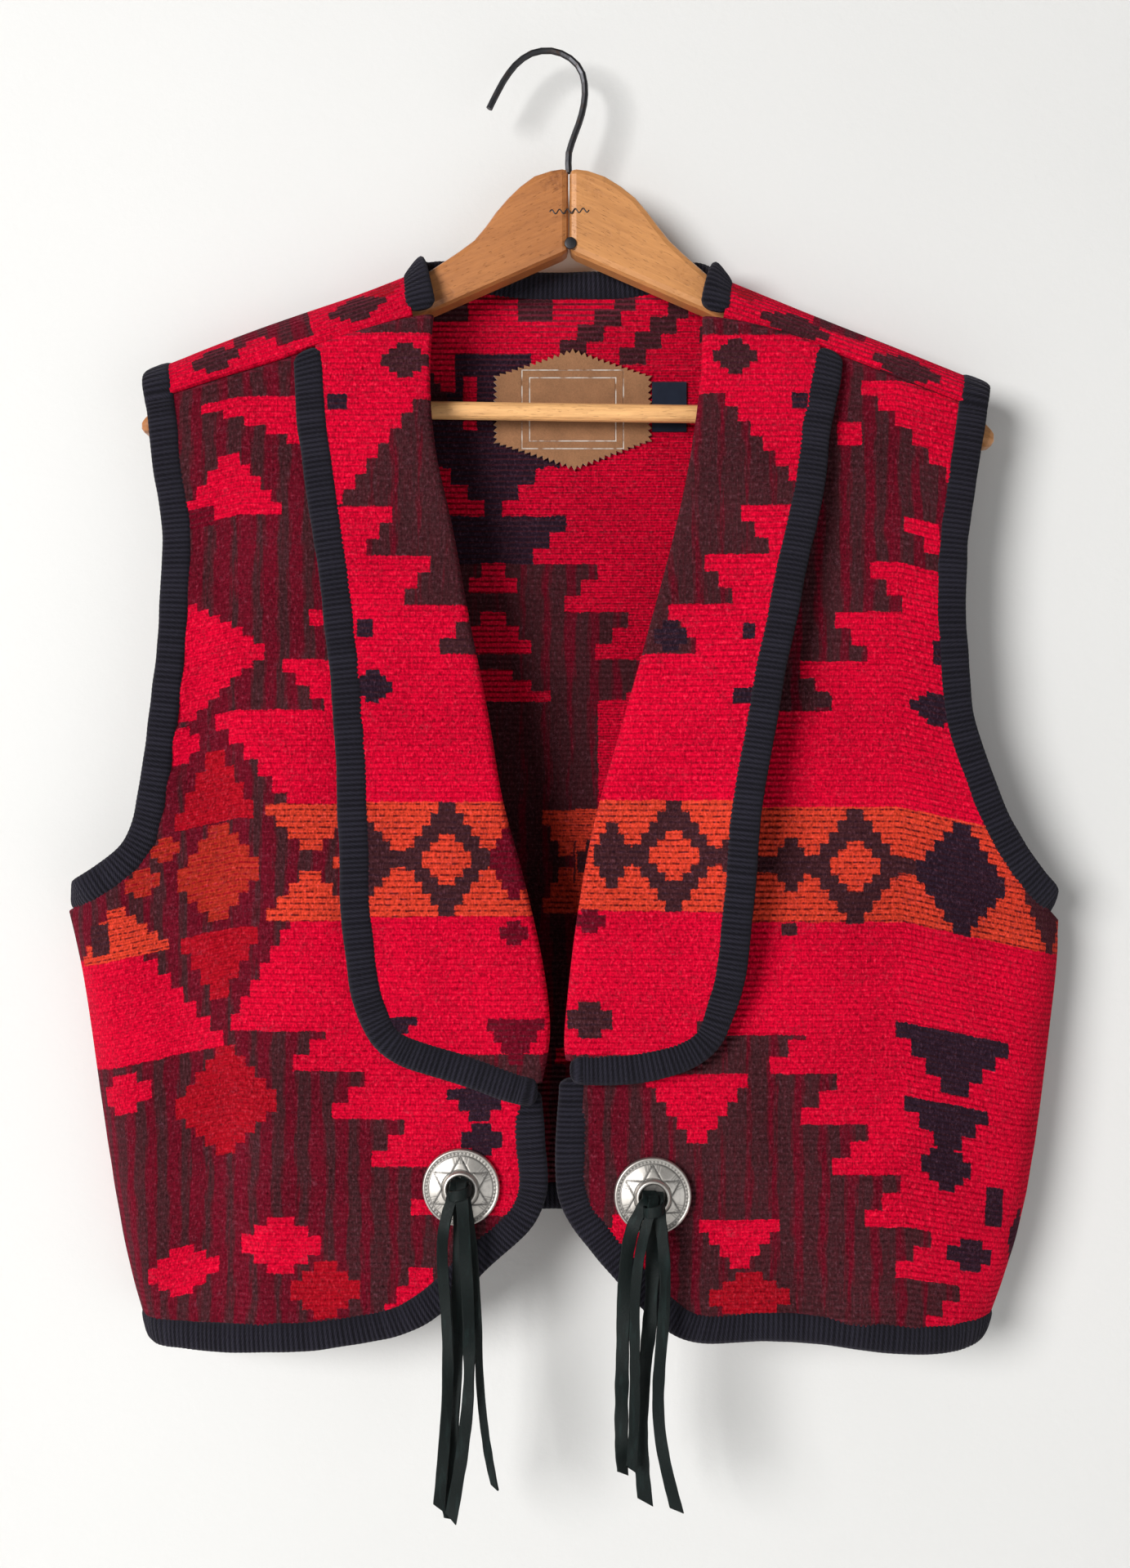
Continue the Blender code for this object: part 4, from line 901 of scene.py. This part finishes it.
def crease_cloth(piece, panel, near_rim):
    """Pushes soft creases and small ripples into a wall, away from its rim."""
    sizes = bpy.context.scene.vest_sizes
    mesh = piece.data
    points = points_of(mesh)
    forward = 1.0 if panel == "back" else -1.0
    push = np.zeros(len(points))
    flat = points[:, [0, 2]]
    for start, end, half_width, depth in CREASES[panel]:
        start, end = np.array(start) * MM, np.array(end) * MM
        way = end - start
        place = (flat - start) @ way / (way @ way)
        bend = 0.18 * np.linalg.norm(way) * np.sin(np.clip(place, 0.0, 1.0) * math.pi) * 0.25
        across = np.array([-way[1], way[0]]) / np.linalg.norm(way)
        aside = ((flat - start - place[:, None] * way) @ across - bend) / (half_width * MM)
        fade = np.clip(1.0 - np.abs(place - 0.5) * 2.0 + 0.5, 0.0, 1.0)
        push -= depth * MM * sizes.crease * np.exp(-aside ** 2) * fade * fade * (3.0 - 2.0 * fade)
    seed = 10.0 * sorted(CREASES).index(panel)
    for index, (x, y, z) in enumerate(points):
        far = near_rim.find((x, y, z))[2]
        hold = min(far / HELD_RIM, 1.0)
        ripple = noise.noise(Vector((x * 17.0 + seed, 0.0, z * 13.0)))
        ripple += 0.4 * noise.noise(Vector((x * 44.0, seed, z * 38.0)))
        push[index] = (push[index] + sizes.ripple * ripple) * hold * hold * (3.0 - 2.0 * hold)
    points[:, 1] += forward * push
    mesh.vertices.foreach_set("co", points.ravel())
    mesh.update()


def panel_places(panel, points):
    """Each point's place on a front or back, measured along the cloth."""
    x, y, z = points.T
    table = PANEL_DEPTH[panel.split("_")[0]]
    depth = np.interp(z, table["z"], table["depth"])
    aside = x - CENTRE_X
    turned = np.maximum(0.75 * depth - np.abs(y), 0.0) * 0.8
    sag = SIDE_SAG * np.maximum(np.abs(aside) - SAG_START, 0.0)
    return np.stack([x + np.sign(aside) * turned, z + sag], axis=1)


def yoke_places(side, points):
    """Places along the yoke from the neck, and over it from the front seam."""
    start, end = (np.array(corner) for corner in YOKE_SEAM[side])
    way = (end - start) / np.linalg.norm(end - start)
    rise = np.array([-way[1], way[0]])
    rise = rise if rise[1] > 0 else -rise
    flat = points[:, [0, 2]] - start
    along, height = flat @ way, flat @ rise
    y = points[:, 1]
    front = height + 0.8 * (0.016 - np.abs(y))
    return np.stack([along, np.where(y < 0.0, front, 0.070 - front)], axis=1)


def make_cloth(panel):
    piece, near_rim = cloth_wall(panel)
    kind, _, side = panel.partition("_")
    points = points_of(piece.data)
    if kind == "lapel":
        places = points[:, [0, 2]]
    else:
        places = yoke_places(side, points) if kind == "yoke" else panel_places(panel, points)
    crease_cloth(piece, panel, near_rim)
    write_uv(piece.data, places)
    piece.data.shade_smooth()
    piece.data.set_sharp_from_angle(angle=math.radians(60.0))
    material = wool(panel, rib=0.8, lines=1.0) if panel == "back" else wool(panel)
    settle(piece, material, panel, slot="wool")


def rings_of(node):
    """A band's sections in order, six points each: from its own node's mesh."""
    form = bmesh.new()
    form.from_mesh(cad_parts[node].data)
    bmesh.ops.remove_doubles(form, verts=form.verts, dist=MERGE)
    form.verts.ensure_lookup_table()
    form.edges.index_update()
    last = layers_from(form.verts[0])[-1]
    first = end_ring(last)
    rings = [first]
    seen = set(first)
    while True:
        following = {other for vertex in rings[-1] for other in neighbours(vertex)} - seen
        if not following:
            break
        rings.append(in_step(rings[-1], following))
        seen |= following
    places = np.array([[vertex.co[:] for vertex in ring] for ring in rings])
    form.free()
    return from_near_edge(places)


def neighbours(vertex):
    return [edge.other_vert(vertex) for edge in vertex.link_edges]


def layers_from(vertex):
    """The points in layers by how many edges away they are; a vertex of each."""
    seen, layer, order = {vertex}, [vertex], []
    while layer:
        order.append(layer[0])
        following = []
        for item in layer:
            for other in neighbours(item):
                if other not in seen:
                    seen.add(other)
                    following.append(other)
        layer = following
    return order


FLAT_CAP = 0.97


def end_ring(vertex):
    """The six points of the end that a vertex lies on, in order round it."""
    borders = []
    for face in vertex.link_faces:
        flat = flat_region(face)
        edges = sorted({edge for item in flat for edge in item.edges}, key=lambda edge: edge.index)
        border = [edge for edge in edges if sum(other in flat for other in edge.link_faces) == 1]
        if len(flat) == 4 and len(border) == 6:
            borders.append(border)
    border = min(borders, key=lambda edges: sum(edge.calc_length() for edge in edges))
    ring = [border[0].verts[0], border[0].verts[1]]
    while len(ring) < 6:
        step = next(edge.other_vert(ring[-1]) for edge in border
                    if ring[-1] in edge.verts and edge.other_vert(ring[-1]) not in ring)
        ring.append(step)
    return ring


def flat_region(face):
    """The faces that lie nearly in one plane with a face and join on to it."""
    region = {face}
    while True:
        more = {other for item in region for edge in item.edges for other in edge.link_faces
                if other.normal.dot(face.normal) > FLAT_CAP} - region
        if not more:
            return region
        region |= more


def beside(vertex, ring):
    """The points joined to a vertex by edges of the band's long faces."""
    return [edge.other_vert(vertex) for edge in vertex.link_edges
            if any(other in ring for face in edge.link_faces for other in face.verts)]


def in_step(ring, following):
    """The next ring's points, in the order that best matches the last ring's."""
    first = min(following, key=lambda vertex: (vertex.co - ring[0].co).length)
    loop = [first]
    while len(loop) < len(following):
        loop.append(next(
            other for other in beside(loop[-1], ring) if other in following and other not in loop))
    count = len(ring)
    orders = [[loop[(start + turn * step) % count] for step in range(count)]
              for start in range(count) for turn in (1, -1)]
    return min(orders, key=lambda order: sum((a.co - b.co).length for a, b in zip(ring, order)))


def from_near_edge(places):
    """Rolls the sections so that they start and end at the edge by the cloth."""
    sides = np.linalg.norm(places - np.roll(places, -1, axis=1), axis=2).mean(axis=0)
    long_sides = sorted(np.argsort(sides)[-2:])
    between = [index for index in range(6)
               if (index - 1) % 6 in long_sides and (index + 1) % 6 in long_sides and sides[index] > 0.003]
    return np.roll(places, -(between[0] + 1), axis=1)


def smooth_between(values, spots):
    """Values read at spots along a soft curve that the given ones steer."""
    padded = np.concatenate([2 * values[:1] - values[1:2], values, 2 * values[-1:] - values[-2:-1]])
    base = np.clip(np.floor(spots).astype(int), 0, len(values) - 2)
    t = (spots - base)[:, None]
    before, start, end, after = (padded[base + k] for k in range(4))
    return ((1 - t) ** 3 * before + (3 * t ** 3 - 6 * t ** 2 + 4) * start
            + (-3 * t ** 3 + 3 * t ** 2 + 3 * t + 1) * end + t ** 3 * after) / 6


END_ROUNDING = 0.0045
END_CLOSING = 0.86
SECTION_POINTS = 14
RINGS_A_TURN = 6
WAVE = 0.0012
WOBBLE = 0.0007
UNEVENNESS = 0.10
SLANT = 2.2
FLATNESS = 0.68
YARN_GIRTH = 0.030

# How far a front's band runs on under the lapel's foot, and back behind it
UNDER_LAPEL = {"front_binding_right": 0.012, "front_binding_left": 0.019}
BEHIND_LAPEL = 0.0030


def run_under_lapel(near, far, thick, reach):
    """Adds a section above a front's band, set back behind the lapel."""
    if near[0][2] < near[-1][2]:
        near, far, thick = near[::-1], far[::-1], thick[::-1]
    way = near[0] - near[1]
    step = reach * way / np.linalg.norm(way) + (0.0, BEHIND_LAPEL, 0.0)
    return (np.concatenate([[near[0] + step], near]), np.concatenate([[far[0] + step], far]),
            np.concatenate([thick[:1], thick]))


def make_binding(node, material):
    """A band of yarn wrapped over a cloth edge, its turns modelled."""
    sizes = bpy.context.scene.vest_sizes
    places = rings_of(node)
    near = (places[:, 0] + places[:, 5]) / 2
    far = (places[:, 2] + places[:, 3]) / 2
    thick = (places[:, 5] - places[:, 0]) / 2
    if node in UNDER_LAPEL:
        near, far, thick = run_under_lapel(near, far, thick, UNDER_LAPEL[node])
    lengths = distances((near + far) / 2)
    turns = max(int(round(lengths[-1] / sizes.wrap_pitch)), 2)
    distance = np.linspace(0.0, lengths[-1], turns * RINGS_A_TURN + 1)
    spots = np.interp(distance, lengths, np.arange(len(lengths)))
    near, far, thick = (smooth_between(values, spots) for values in (near, far, thick))
    points, uv = [], []
    angles = 2 * math.pi * np.arange(SECTION_POINTS) / SECTION_POINTS
    for index in range(len(distance)):
        out = far[index] - near[index]
        width = np.linalg.norm(out)
        out /= width
        lean = 0.5 + 0.5 * noise.noise(Vector((distance[index] * 9.0, 0.0, len(node))))
        uneven = 1.0 + UNEVENNESS * noise.noise(Vector((distance[index] * 160.0, 3.0, 0.0)))
        wave = WAVE * noise.noise(Vector((distance[index] * 30.0, 11.0, len(node))))
        wobble = WOBBLE * noise.noise(Vector((distance[index] * 70.0, 7.0, len(node))))
        ends = min(distance[index], distance[-1] - distance[index]) / END_ROUNDING
        closing = math.sqrt(1.0 - (1.0 - min(ends, 1.0)) ** 2 * END_CLOSING)
        for step, angle in enumerate(angles):
            cosine, sine = math.cos(angle), math.sin(angle)
            phase = 2 * math.pi * (distance[index] / sizes.wrap_pitch) + SLANT * lean * cosine
            ridge = 1.0 + sizes.wrap_depth * (abs(math.cos(phase / 2)) - 0.5) * uneven
            half_width = (width + wobble + sizes.wrap_over) / 2 * (1.0 + 0.10 * (ridge - 1.0)) * closing
            across = (
                (width - sizes.wrap_over) / 2 + wave
                + half_width * math.copysign(abs(cosine) ** FLATNESS, cosine))
            high = closing * ridge * uneven * math.copysign(abs(sine) ** FLATNESS, sine)
            points.append(near[index] + out * across + thick[index] * high)
            uv.append((step / SECTION_POINTS * YARN_GIRTH, distance[index]))
    mesh = new_mesh(f"yarn_{node}", points, tube_faces(len(distance), SECTION_POINTS), merged=False)
    write_uv(mesh, uv)
    settle(object_of(mesh), material, node, slot="binding")


class VEST_OT_back(bpy.types.Operator):
    """Dress the back panel"""

    bl_idname = "vest.back"
    bl_label = "Back"

    def execute(self, context):
        make_cloth("back")
        return {"FINISHED"}


class VEST_OT_fronts(bpy.types.Operator):
    """Dress the two fronts"""

    bl_idname = "vest.fronts"
    bl_label = "Fronts"

    def execute(self, context):
        for side in SIDES:
            make_cloth(f"front_{side}")
        return {"FINISHED"}


class VEST_OT_lapels(bpy.types.Operator):
    """Dress the two lapels"""

    bl_idname = "vest.lapels"
    bl_label = "Lapels"

    def execute(self, context):
        for side in SIDES:
            make_cloth(f"lapel_{side}")
        return {"FINISHED"}


class VEST_OT_yokes(bpy.types.Operator):
    """Dress the two shoulder yokes"""

    bl_idname = "vest.yokes"
    bl_label = "Yokes"

    def execute(self, context):
        for side in SIDES:
            make_cloth(f"yoke_{side}")
        return {"FINISHED"}


class VEST_OT_bindings(bpy.types.Operator):
    """Wrap yarn over the edges of the neck, armholes, lapels, fronts and hem"""

    bl_idname = "vest.bindings"
    bl_label = "Bindings"

    def execute(self, context):
        bands = ("armhole_binding_front", "armhole_binding_back", "lapel_binding", "front_binding")
        nodes = [f"{band}_{side}" for side in SIDES for band in bands]
        material = binding_yarn()
        for node in (*nodes, "neck_binding", "back_hem_binding"):
            make_binding(node, material)
        return {"FINISHED"}


class VEST_OT_label(bpy.types.Operator):
    """Cut the pinked suede patch and finish the woven tab"""

    bl_idname = "vest.label"
    bl_label = "Label"

    def execute(self, context):
        deselect()
        lowest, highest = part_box("label_patch")
        bpy.ops.mesh.primitive_circle_add(vertices=len(PATCH_CORNERS), radius=0.03, fill_type="NOTHING")
        piece = context.object
        piece.name = "suede_patch"
        points = np.array([(x, highest[1], z) for x, z in PATCH_CORNERS])
        piece.data.vertices.foreach_set("co", points.ravel())
        piece.data.update()
        self.pink(piece)
        make_active(piece)
        bpy.ops.object.mode_set(mode="EDIT")
        bpy.ops.mesh.select_all(action="SELECT")
        bpy.ops.mesh.extrude_region_move(TRANSFORM_OT_translate={"value": (0.0, lowest[1] - highest[1], 0.0)})
        bpy.ops.mesh.select_all(action="SELECT")
        bpy.ops.mesh.normals_make_consistent(inside=False)
        bpy.ops.object.mode_set(mode="OBJECT")
        settle(piece, suede(context.scene.vest_colours.suede), "label_patch", slot="suede")
        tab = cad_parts["label_tab"]
        tab.data.materials.clear()
        tab.data.materials.append(woven_tab())
        return {"FINISHED"}

    def pink(self, piece):
        """Cuts the patch's straight sides into small teeth."""
        mesh = piece.data
        corners = points_of(mesh)
        centre = corners.mean(axis=0)
        outline = []
        for start, end in zip(corners, np.roll(corners, -1, axis=0)):
            teeth = int(round(np.linalg.norm(end - start) / PATCH_TOOTH))
            for step in range(2 * teeth):
                point = start + (end - start) * step / (2 * teeth)
                inward = (centre - point) / np.linalg.norm(centre - point)
                outline.append(point + inward * (PATCH_TOOTH_DEPTH if step % 2 else -0.2 * PATCH_TOOTH_DEPTH))
        mesh.clear_geometry()
        mesh.from_pydata([tuple(point) for point in outline], [], [tuple(range(len(outline)))])


class VEST_OT_conchos(bpy.types.Operator):
    """Turn and engrave the silver conchos"""

    bl_idname = "vest.conchos"
    bl_label = "Conchos"

    def execute(self, context):
        material = antique_silver(context.scene.vest_colours.silver)
        for side in SIDES:
            self.concho(side, material)
        return {"FINISHED"}

    def concho(self, side, material):
        node = f"concho_{side}"
        points = points_of(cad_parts[node].data)
        centre = points.mean(axis=0)
        _, _, axes = np.linalg.svd(points - centre, full_matrices=False)
        out = axes[2] if axes[2][1] < 0 else -axes[2]
        across = np.cross(out, (0.0, 0.0, 1.0))
        across /= np.linalg.norm(across)
        rise = np.cross(across, out)
        foot = centre + out * ((points - centre) @ out).min()
        middle = foot + across * np.mean([((points - foot) @ across).max(), ((points - foot) @ across).min()])
        middle = middle + rise * np.mean([((points - foot) @ rise).max(), ((points - foot) @ rise).min()])
        profile = np.array(CONCHO_PROFILE)
        lengths = distances(profile)
        spots = np.linspace(0.0, lengths[-1] - CONCHO_CENTRE, CONCHO_RINGS)
        radii = np.interp(spots, lengths, profile[:, 0])
        heights = np.interp(spots, lengths, profile[:, 1])
        turns = 2 * math.pi * np.arange(CONCHO_SPOKES) / CONCHO_SPOKES
        mesh_points, depth = [], []
        for radius, height in zip(radii, heights):
            for turn in turns:
                cut = self.engraving(radius, turn)
                bead = max(0.0, math.cos(CONCHO_BEADS * turn)) * math.exp(
                    -((radius - BEAD_RADIUS) / 0.55) ** 2)
                place = height + BEAD_HEIGHT * bead - CUT_DEPTH * cut
                spot = middle + (
                    across * radius * math.cos(turn) + rise * radius * math.sin(turn) + out * place) * MM
                mesh_points.append(spot)
                hollow = 0.8 if radius < HOLLOW_RADIUS else 0.0
                gap = (1.0 - bead) * math.exp(-((radius - BEAD_RADIUS) / 0.8) ** 2)
                depth.append(min(1.0, max(cut, hollow, 0.75 * gap)))
        mesh = new_mesh(f"silver_{node}", mesh_points, tube_faces(CONCHO_RINGS, CONCHO_SPOKES), merged=False)
        mesh.attributes.new("engraving", "FLOAT", "POINT").data.foreach_set("value", depth)
        settle(object_of(mesh), material, node, slot="silver")

    def engraving(self, radius, turn):
        """How deeply the star, its rings and its hatching are cut at a place."""
        cut = 0.0
        x, y = radius * math.cos(turn), radius * math.sin(turn)
        if STAR_HOLLOW < radius < STAR_RADIUS:
            for corner in range(6):
                angle = math.radians(30.0 + 60.0 * corner)
                off = abs(x * math.cos(angle) + y * math.sin(angle) - STAR_RADIUS / 2)
                cut = max(cut, math.exp(-(off / ENGRAVING_WIDTH) ** 2))
            point = abs((turn + math.pi / 6) % (math.pi / 3) - math.pi / 6)
            if point > math.radians(13.0) and radius > HATCHING_START:
                cut = max(cut, 0.55 * max(0.0, math.cos(HATCHES * turn)) ** 2)
        for ring in RING_RADII:
            cut = max(cut, math.exp(-((radius - ring) / RING_WIDTH) ** 2))
        return cut


class VEST_OT_tassels(bpy.types.Operator):
    """Cut the tassels' flat thongs and knot them at the conchos"""

    bl_idname = "vest.tassels"
    bl_label = "Tassels"

    def execute(self, context):
        material = thong_leather(context.scene.vest_colours.thong)
        for side in SIDES:
            self.tassel(side, material)
        return {"FINISHED"}

    def tassel(self, side, material):
        node = f"tassel_{side}"
        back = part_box(node)[1][1] - KNOT_BEHIND
        points, faces = [], []
        for index, (width, route) in enumerate(THONGS[side]):
            line = self.hanging_line(route, back - THONG_PITCH * index)
            turns = [TWIST * noise.noise(Vector((step * 0.07, index * 5.0 + 2.0, len(node))))
                     for step in range(len(line))]
            self.strap(points, faces, line, width, turns)
        x, z = THONGS[side][0][1][0]
        middle = back - THONG_PITCH * 1.5
        turn = np.linspace(0.0, 2 * math.pi, 33)
        loop = np.stack([x + KNOT_HALF_WIDTH * np.cos(turn), middle + KNOT_HALF_DEPTH * np.sin(turn),
                         z - KNOT_DROP + KNOT_TILT * np.cos(turn)], axis=1)
        self.strap(points, faces, loop, KNOT_STRAP, list(turn), upright=True)
        mesh = new_mesh(f"leather_{node}", points, faces)
        mesh.set_sharp_from_angle(angle=math.radians(28.0))
        settle(object_of(mesh), material, node, slot="thong")

    def hanging_line(self, route, y):
        """A thong's way down, smoothed; it starts bent back into the slot."""
        route = np.array([(x, y, z) for x, z in route])
        route = np.concatenate([[route[0] + (0.0, 0.0055, 0.0030)], route])
        return smooth_between(route, np.linspace(0.0, len(route) - 1.001, THONG_STEPS))

    def strap(self, points, faces, line, width, turns, upright=False):
        """Adds a flat strap of eight-sided section to the lists."""
        first = len(points)
        ways = np.gradient(line, axis=0)
        half = THONG_THICKNESS / 2
        section = [
            (-1.0, -0.5), (-1.0, 0.5), (-0.93, 1.0), (0.93, 1.0), (1.0, 0.5), (1.0, -0.5), (0.93, -1.0),
                   (-0.93, -1.0)]
        last = len(line) - 1
        for index, (centre, way, turn) in enumerate(zip(line, ways, turns)):
            way /= np.linalg.norm(way)
            if upright:
                across, through = np.array([0.0, 0.0, 1.0]), np.array([math.cos(turn), math.sin(turn), 0.0])
            else:
                across = np.cross(way, (0.0, 1.0, 0.0))
                across /= np.linalg.norm(across)
                through = np.cross(across, way)
                across, through = (across * math.cos(turn) + through * math.sin(turn),
                                   through * math.cos(turn) - across * math.sin(turn))
            uneven = 1.0 + 0.10 * noise.noise(Vector((index * 0.3, width * 900.0, 1.0)))
            for aside, out in section:
                slant = way * (0.35 * aside * width) * (index == last and not upright)
                points.append(centre + across * aside * width / 2 * uneven + through * out * half + slant)
        faces += tube_faces(len(line), len(section), first)


RIVET_RADIUS = 0.0031
RIVET_PLACE = (0.0118, -0.1000)
FASTENER_HALF_THICKNESS = 0.00035
FASTENER_ENDS = ((0.0012, -0.0840), (0.0212, -0.0830))
FASTENER_CRIMP = 0.0011
FASTENER_WAVES = 5.0
FASTENER_STEPS = 60


class VEST_OT_hanger(bpy.types.Operator):
    """Finish the hanger's woods and wire, and add its rivet and fastener"""

    bl_idname = "vest.hanger"
    bl_label = "Hanger"

    def execute(self, context):
        colours = context.scene.hanger_colours
        finishes = {
            "hanger_arm_right": wood("right_arm_wood", colours.right_wood, math.radians(24.0), worn=0.45),
            "hanger_arm_left": wood("left_arm_wood", colours.left_wood, math.radians(-26.0), worn=0.12),
            # The bar's colour carries painted light.
            "hanger_bar": wood("bar_wood", colours.bar_wood, 0.0),
            "hanger_hook": steel_wire(colours.wire),
        }
        for node, material in finishes.items():
            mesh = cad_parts[node].data
            mesh.materials.clear()
            mesh.materials.append(material)
        self.rivet(finishes["hanger_hook"])
        self.fastener(finishes["hanger_hook"])
        return {"FINISHED"}

    def rivet(self, material):
        deselect()
        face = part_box("hanger_arm_right")[0][1]
        x, z = RIVET_PLACE
        bpy.ops.mesh.primitive_cylinder_add(vertices=32, radius=RIVET_RADIUS, depth=0.0014,
                                            location=(x, face - 0.0004, z), rotation=(math.pi / 2, 0.0, 0.0))
        piece = bpy.context.object
        piece.name = "joint_rivet"
        edge = piece.modifiers.new("domed", "BEVEL")
        edge.width, edge.segments = 0.0006, 3
        apply_modifiers(piece)
        piece.data.shade_smooth()
        settle(piece, material, slot="steel")

    def fastener(self, material):
        """The crimped strip driven in across the joint."""
        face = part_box("hanger_arm_right")[0][1]
        curve = bpy.data.curves.new("crimped_fastener", "CURVE")
        curve.dimensions = "3D"
        curve.bevel_depth = FASTENER_HALF_THICKNESS
        curve.use_fill_caps = True
        line = curve.splines.new("POLY")
        line.points.add(FASTENER_STEPS)
        (start_x, start_z), (end_x, end_z) = FASTENER_ENDS
        for index, point in enumerate(line.points):
            along = index / FASTENER_STEPS
            crimp = FASTENER_CRIMP * math.sin(along * FASTENER_WAVES * 2 * math.pi)
            point.co = (start_x + (end_x - start_x) * along, face + 0.0001,
                        start_z + (end_z - start_z) * along + crimp, 1.0)
        make_active(object_of(curve))
        bpy.ops.object.convert(target="MESH")
        piece = bpy.context.object
        clean(piece.data)
        settle(piece, material, slot="steel")


# Each light's place, size and colour; all are aimed at the vest's middle
LIGHTS = {
    "key": ((-2.10, -2.80, 0.15), 1.6, (1.0, 0.99, 0.98)),
    "fill": ((1.90, -2.20, -1.30), 2.4, (0.98, 0.99, 1.0)),
    "back": ((0.2, 1.3, 0.3), 1.4, (1.0, 1.0, 1.0)),
}
MIDDLE_Z = -0.36


class VEST_OT_stage(bpy.types.Operator):
    """Stand the pale wall, the soft lights and the camera"""

    bl_idname = "vest.stage"
    bl_label = "Stage"

    def execute(self, context):
        settings = context.scene.vest_stage
        self.wall(settings)
        for name, (location, size, colour) in LIGHTS.items():
            self.light(f"{name}_light", location, size, getattr(settings, f"{name}_power"), colour)
        world = bpy.data.worlds.new("studio")
        world.use_nodes = True
        world.node_tree.nodes["Background"].inputs["Color"].default_value = (0.96, 0.96, 0.96, 1.0)
        world.node_tree.nodes["Background"].inputs["Strength"].default_value = settings.sky
        context.scene.world = world
        context.scene.view_settings.view_transform = "Standard"
        camera = bpy.data.objects.new("camera", bpy.data.cameras.new("camera"))
        context.scene.collection.objects.link(camera)
        camera.location = (settings.camera_x, -settings.camera_distance, settings.camera_z)
        camera.rotation_euler = (math.pi / 2, 0.0, 0.0)
        camera.data.lens = settings.lens
        camera.data.sensor_width = 36.0
        context.scene.camera = camera
        return {"FINISHED"}

    def wall(self, settings):
        """A wall that turns down into a floor, seen and lit from its front alone."""
        deselect()
        bpy.ops.mesh.primitive_plane_add(
            size=6.0, location=(0.0, settings.wall_y, 1.4), rotation=(math.pi / 2, 0.0, 0.0))
        piece = bpy.context.object
        piece.name = "wall"
        bpy.ops.object.transform_apply(location=True, rotation=True)
        bpy.ops.object.mode_set(mode="EDIT")
        bpy.ops.mesh.select_all(action="DESELECT")
        bpy.ops.object.mode_set(mode="OBJECT")
        for edge in piece.data.edges:
            edge.select = all(piece.data.vertices[index].co.z < 0 for index in edge.vertices)
        for vertex in piece.data.vertices:
            vertex.select = vertex.co.z < 0
        bpy.ops.object.mode_set(mode="EDIT")
        bpy.ops.mesh.select_mode(type="EDGE")
        bpy.ops.mesh.extrude_region_move(TRANSFORM_OT_translate={"value": (0.0, -4.0, 0.0)})
        bpy.ops.object.mode_set(mode="OBJECT")
        soft = piece.modifiers.new("cove", "BEVEL")
        soft.width, soft.segments = 0.5, 12
        apply_modifiers(piece)
        form = bmesh.new()
        form.from_mesh(piece.data)
        bmesh.ops.recalc_face_normals(form, faces=form.faces)
        if sum(face.normal.y for face in form.faces if abs(face.normal.y) > 0.9) > 0:
            bmesh.ops.reverse_faces(form, faces=form.faces)
        form.to_mesh(piece.data)
        form.free()
        piece.data.shade_smooth()
        tree = Finish("pale_wall", Roughness=0.9, Specular_IOR_Level=0.1)
        place = tree.object_place()
        mottle = tree.noise(place, 3.0, detail=3.0)
        tree.set("Base Color", tree.mix(mottle, (0.69, 0.69, 0.68, 1.0), (0.74, 0.74, 0.73, 1.0)))
        tree.bump(tree.noise(place, 350.0, detail=3.0), 0.0001)
        behind = tree.wires("ShaderNodeNewGeometry")["Backfacing"]
        shadow = tree.wires("ShaderNodeLightPath")["Is Shadow Ray"]
        clear = tree.wires("ShaderNodeBsdfTransparent")["BSDF"]
        seen = Wire(tree, tree.shader.outputs[0])
        mixed = tree.wires(
            "ShaderNodeMixShader", {0: tree.math("MAXIMUM", behind, shadow), 1: seen, 2: clear})
        tree.feed(tree.tree.nodes["Material Output"].inputs["Surface"], mixed["Shader"])
        piece.data.materials.append(tree.material)

    def light(self, name, location, size, power, colour):
        lamp = bpy.data.lights.new(name, "AREA")
        lamp.shape = "DISK"
        lamp.size = size
        lamp.energy = power
        lamp.color = colour
        made = bpy.data.objects.new(name, lamp)
        bpy.context.scene.collection.objects.link(made)
        made.location = location
        aim = Vector((0.0, 0.0, MIDDLE_Z)) - made.location
        made.rotation_euler = aim.to_track_quat("-Z", "Y").to_euler()


class VEST_PT_panel(bpy.types.Panel):
    """Lists the vest's pieces in the sidebar"""

    bl_idname = "VEST_PT_panel"
    bl_label = "Western Vest"
    bl_space_type = "VIEW_3D"
    bl_region_type = "UI"
    bl_category = "Vest"

    def draw(self, context):
        for operator in OPERATORS:
            self.layout.operator(operator.bl_idname)
        for group in (context.scene.vest_sizes, context.scene.vest_colours, context.scene.hanger_colours,
                      context.scene.vest_stage):
            box = self.layout.box()
            for name in type(group).__annotations__:
                box.prop(group, name)


OPERATORS = (
    VEST_OT_stage, VEST_OT_back, VEST_OT_fronts, VEST_OT_lapels, VEST_OT_yokes, VEST_OT_bindings,
    VEST_OT_label, VEST_OT_conchos, VEST_OT_tassels, VEST_OT_hanger,
)
GROUPS_OF_SETTINGS = {
    "vest_sizes": VestSizes, "vest_colours": VestColours, "hanger_colours": HangerColours,
    "vest_stage": StageSettings,
}


def register():
    for cls in (*GROUPS_OF_SETTINGS.values(), *OPERATORS, VEST_PT_panel):
        bpy.utils.register_class(cls)
    for name, cls in GROUPS_OF_SETTINGS.items():
        setattr(bpy.types.Scene, name, PointerProperty(type=cls))


def unregister():
    for name in GROUPS_OF_SETTINGS:
        delattr(bpy.types.Scene, name)
    for cls in reversed((*GROUPS_OF_SETTINGS.values(), *OPERATORS, VEST_PT_panel)):
        bpy.utils.unregister_class(cls)


def main():
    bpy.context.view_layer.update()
    register()
    for operator in OPERATORS:
        category, name = operator.bl_idname.split(".")
        getattr(getattr(bpy.ops, category), name)()


if __name__ == "__main__":
    main()
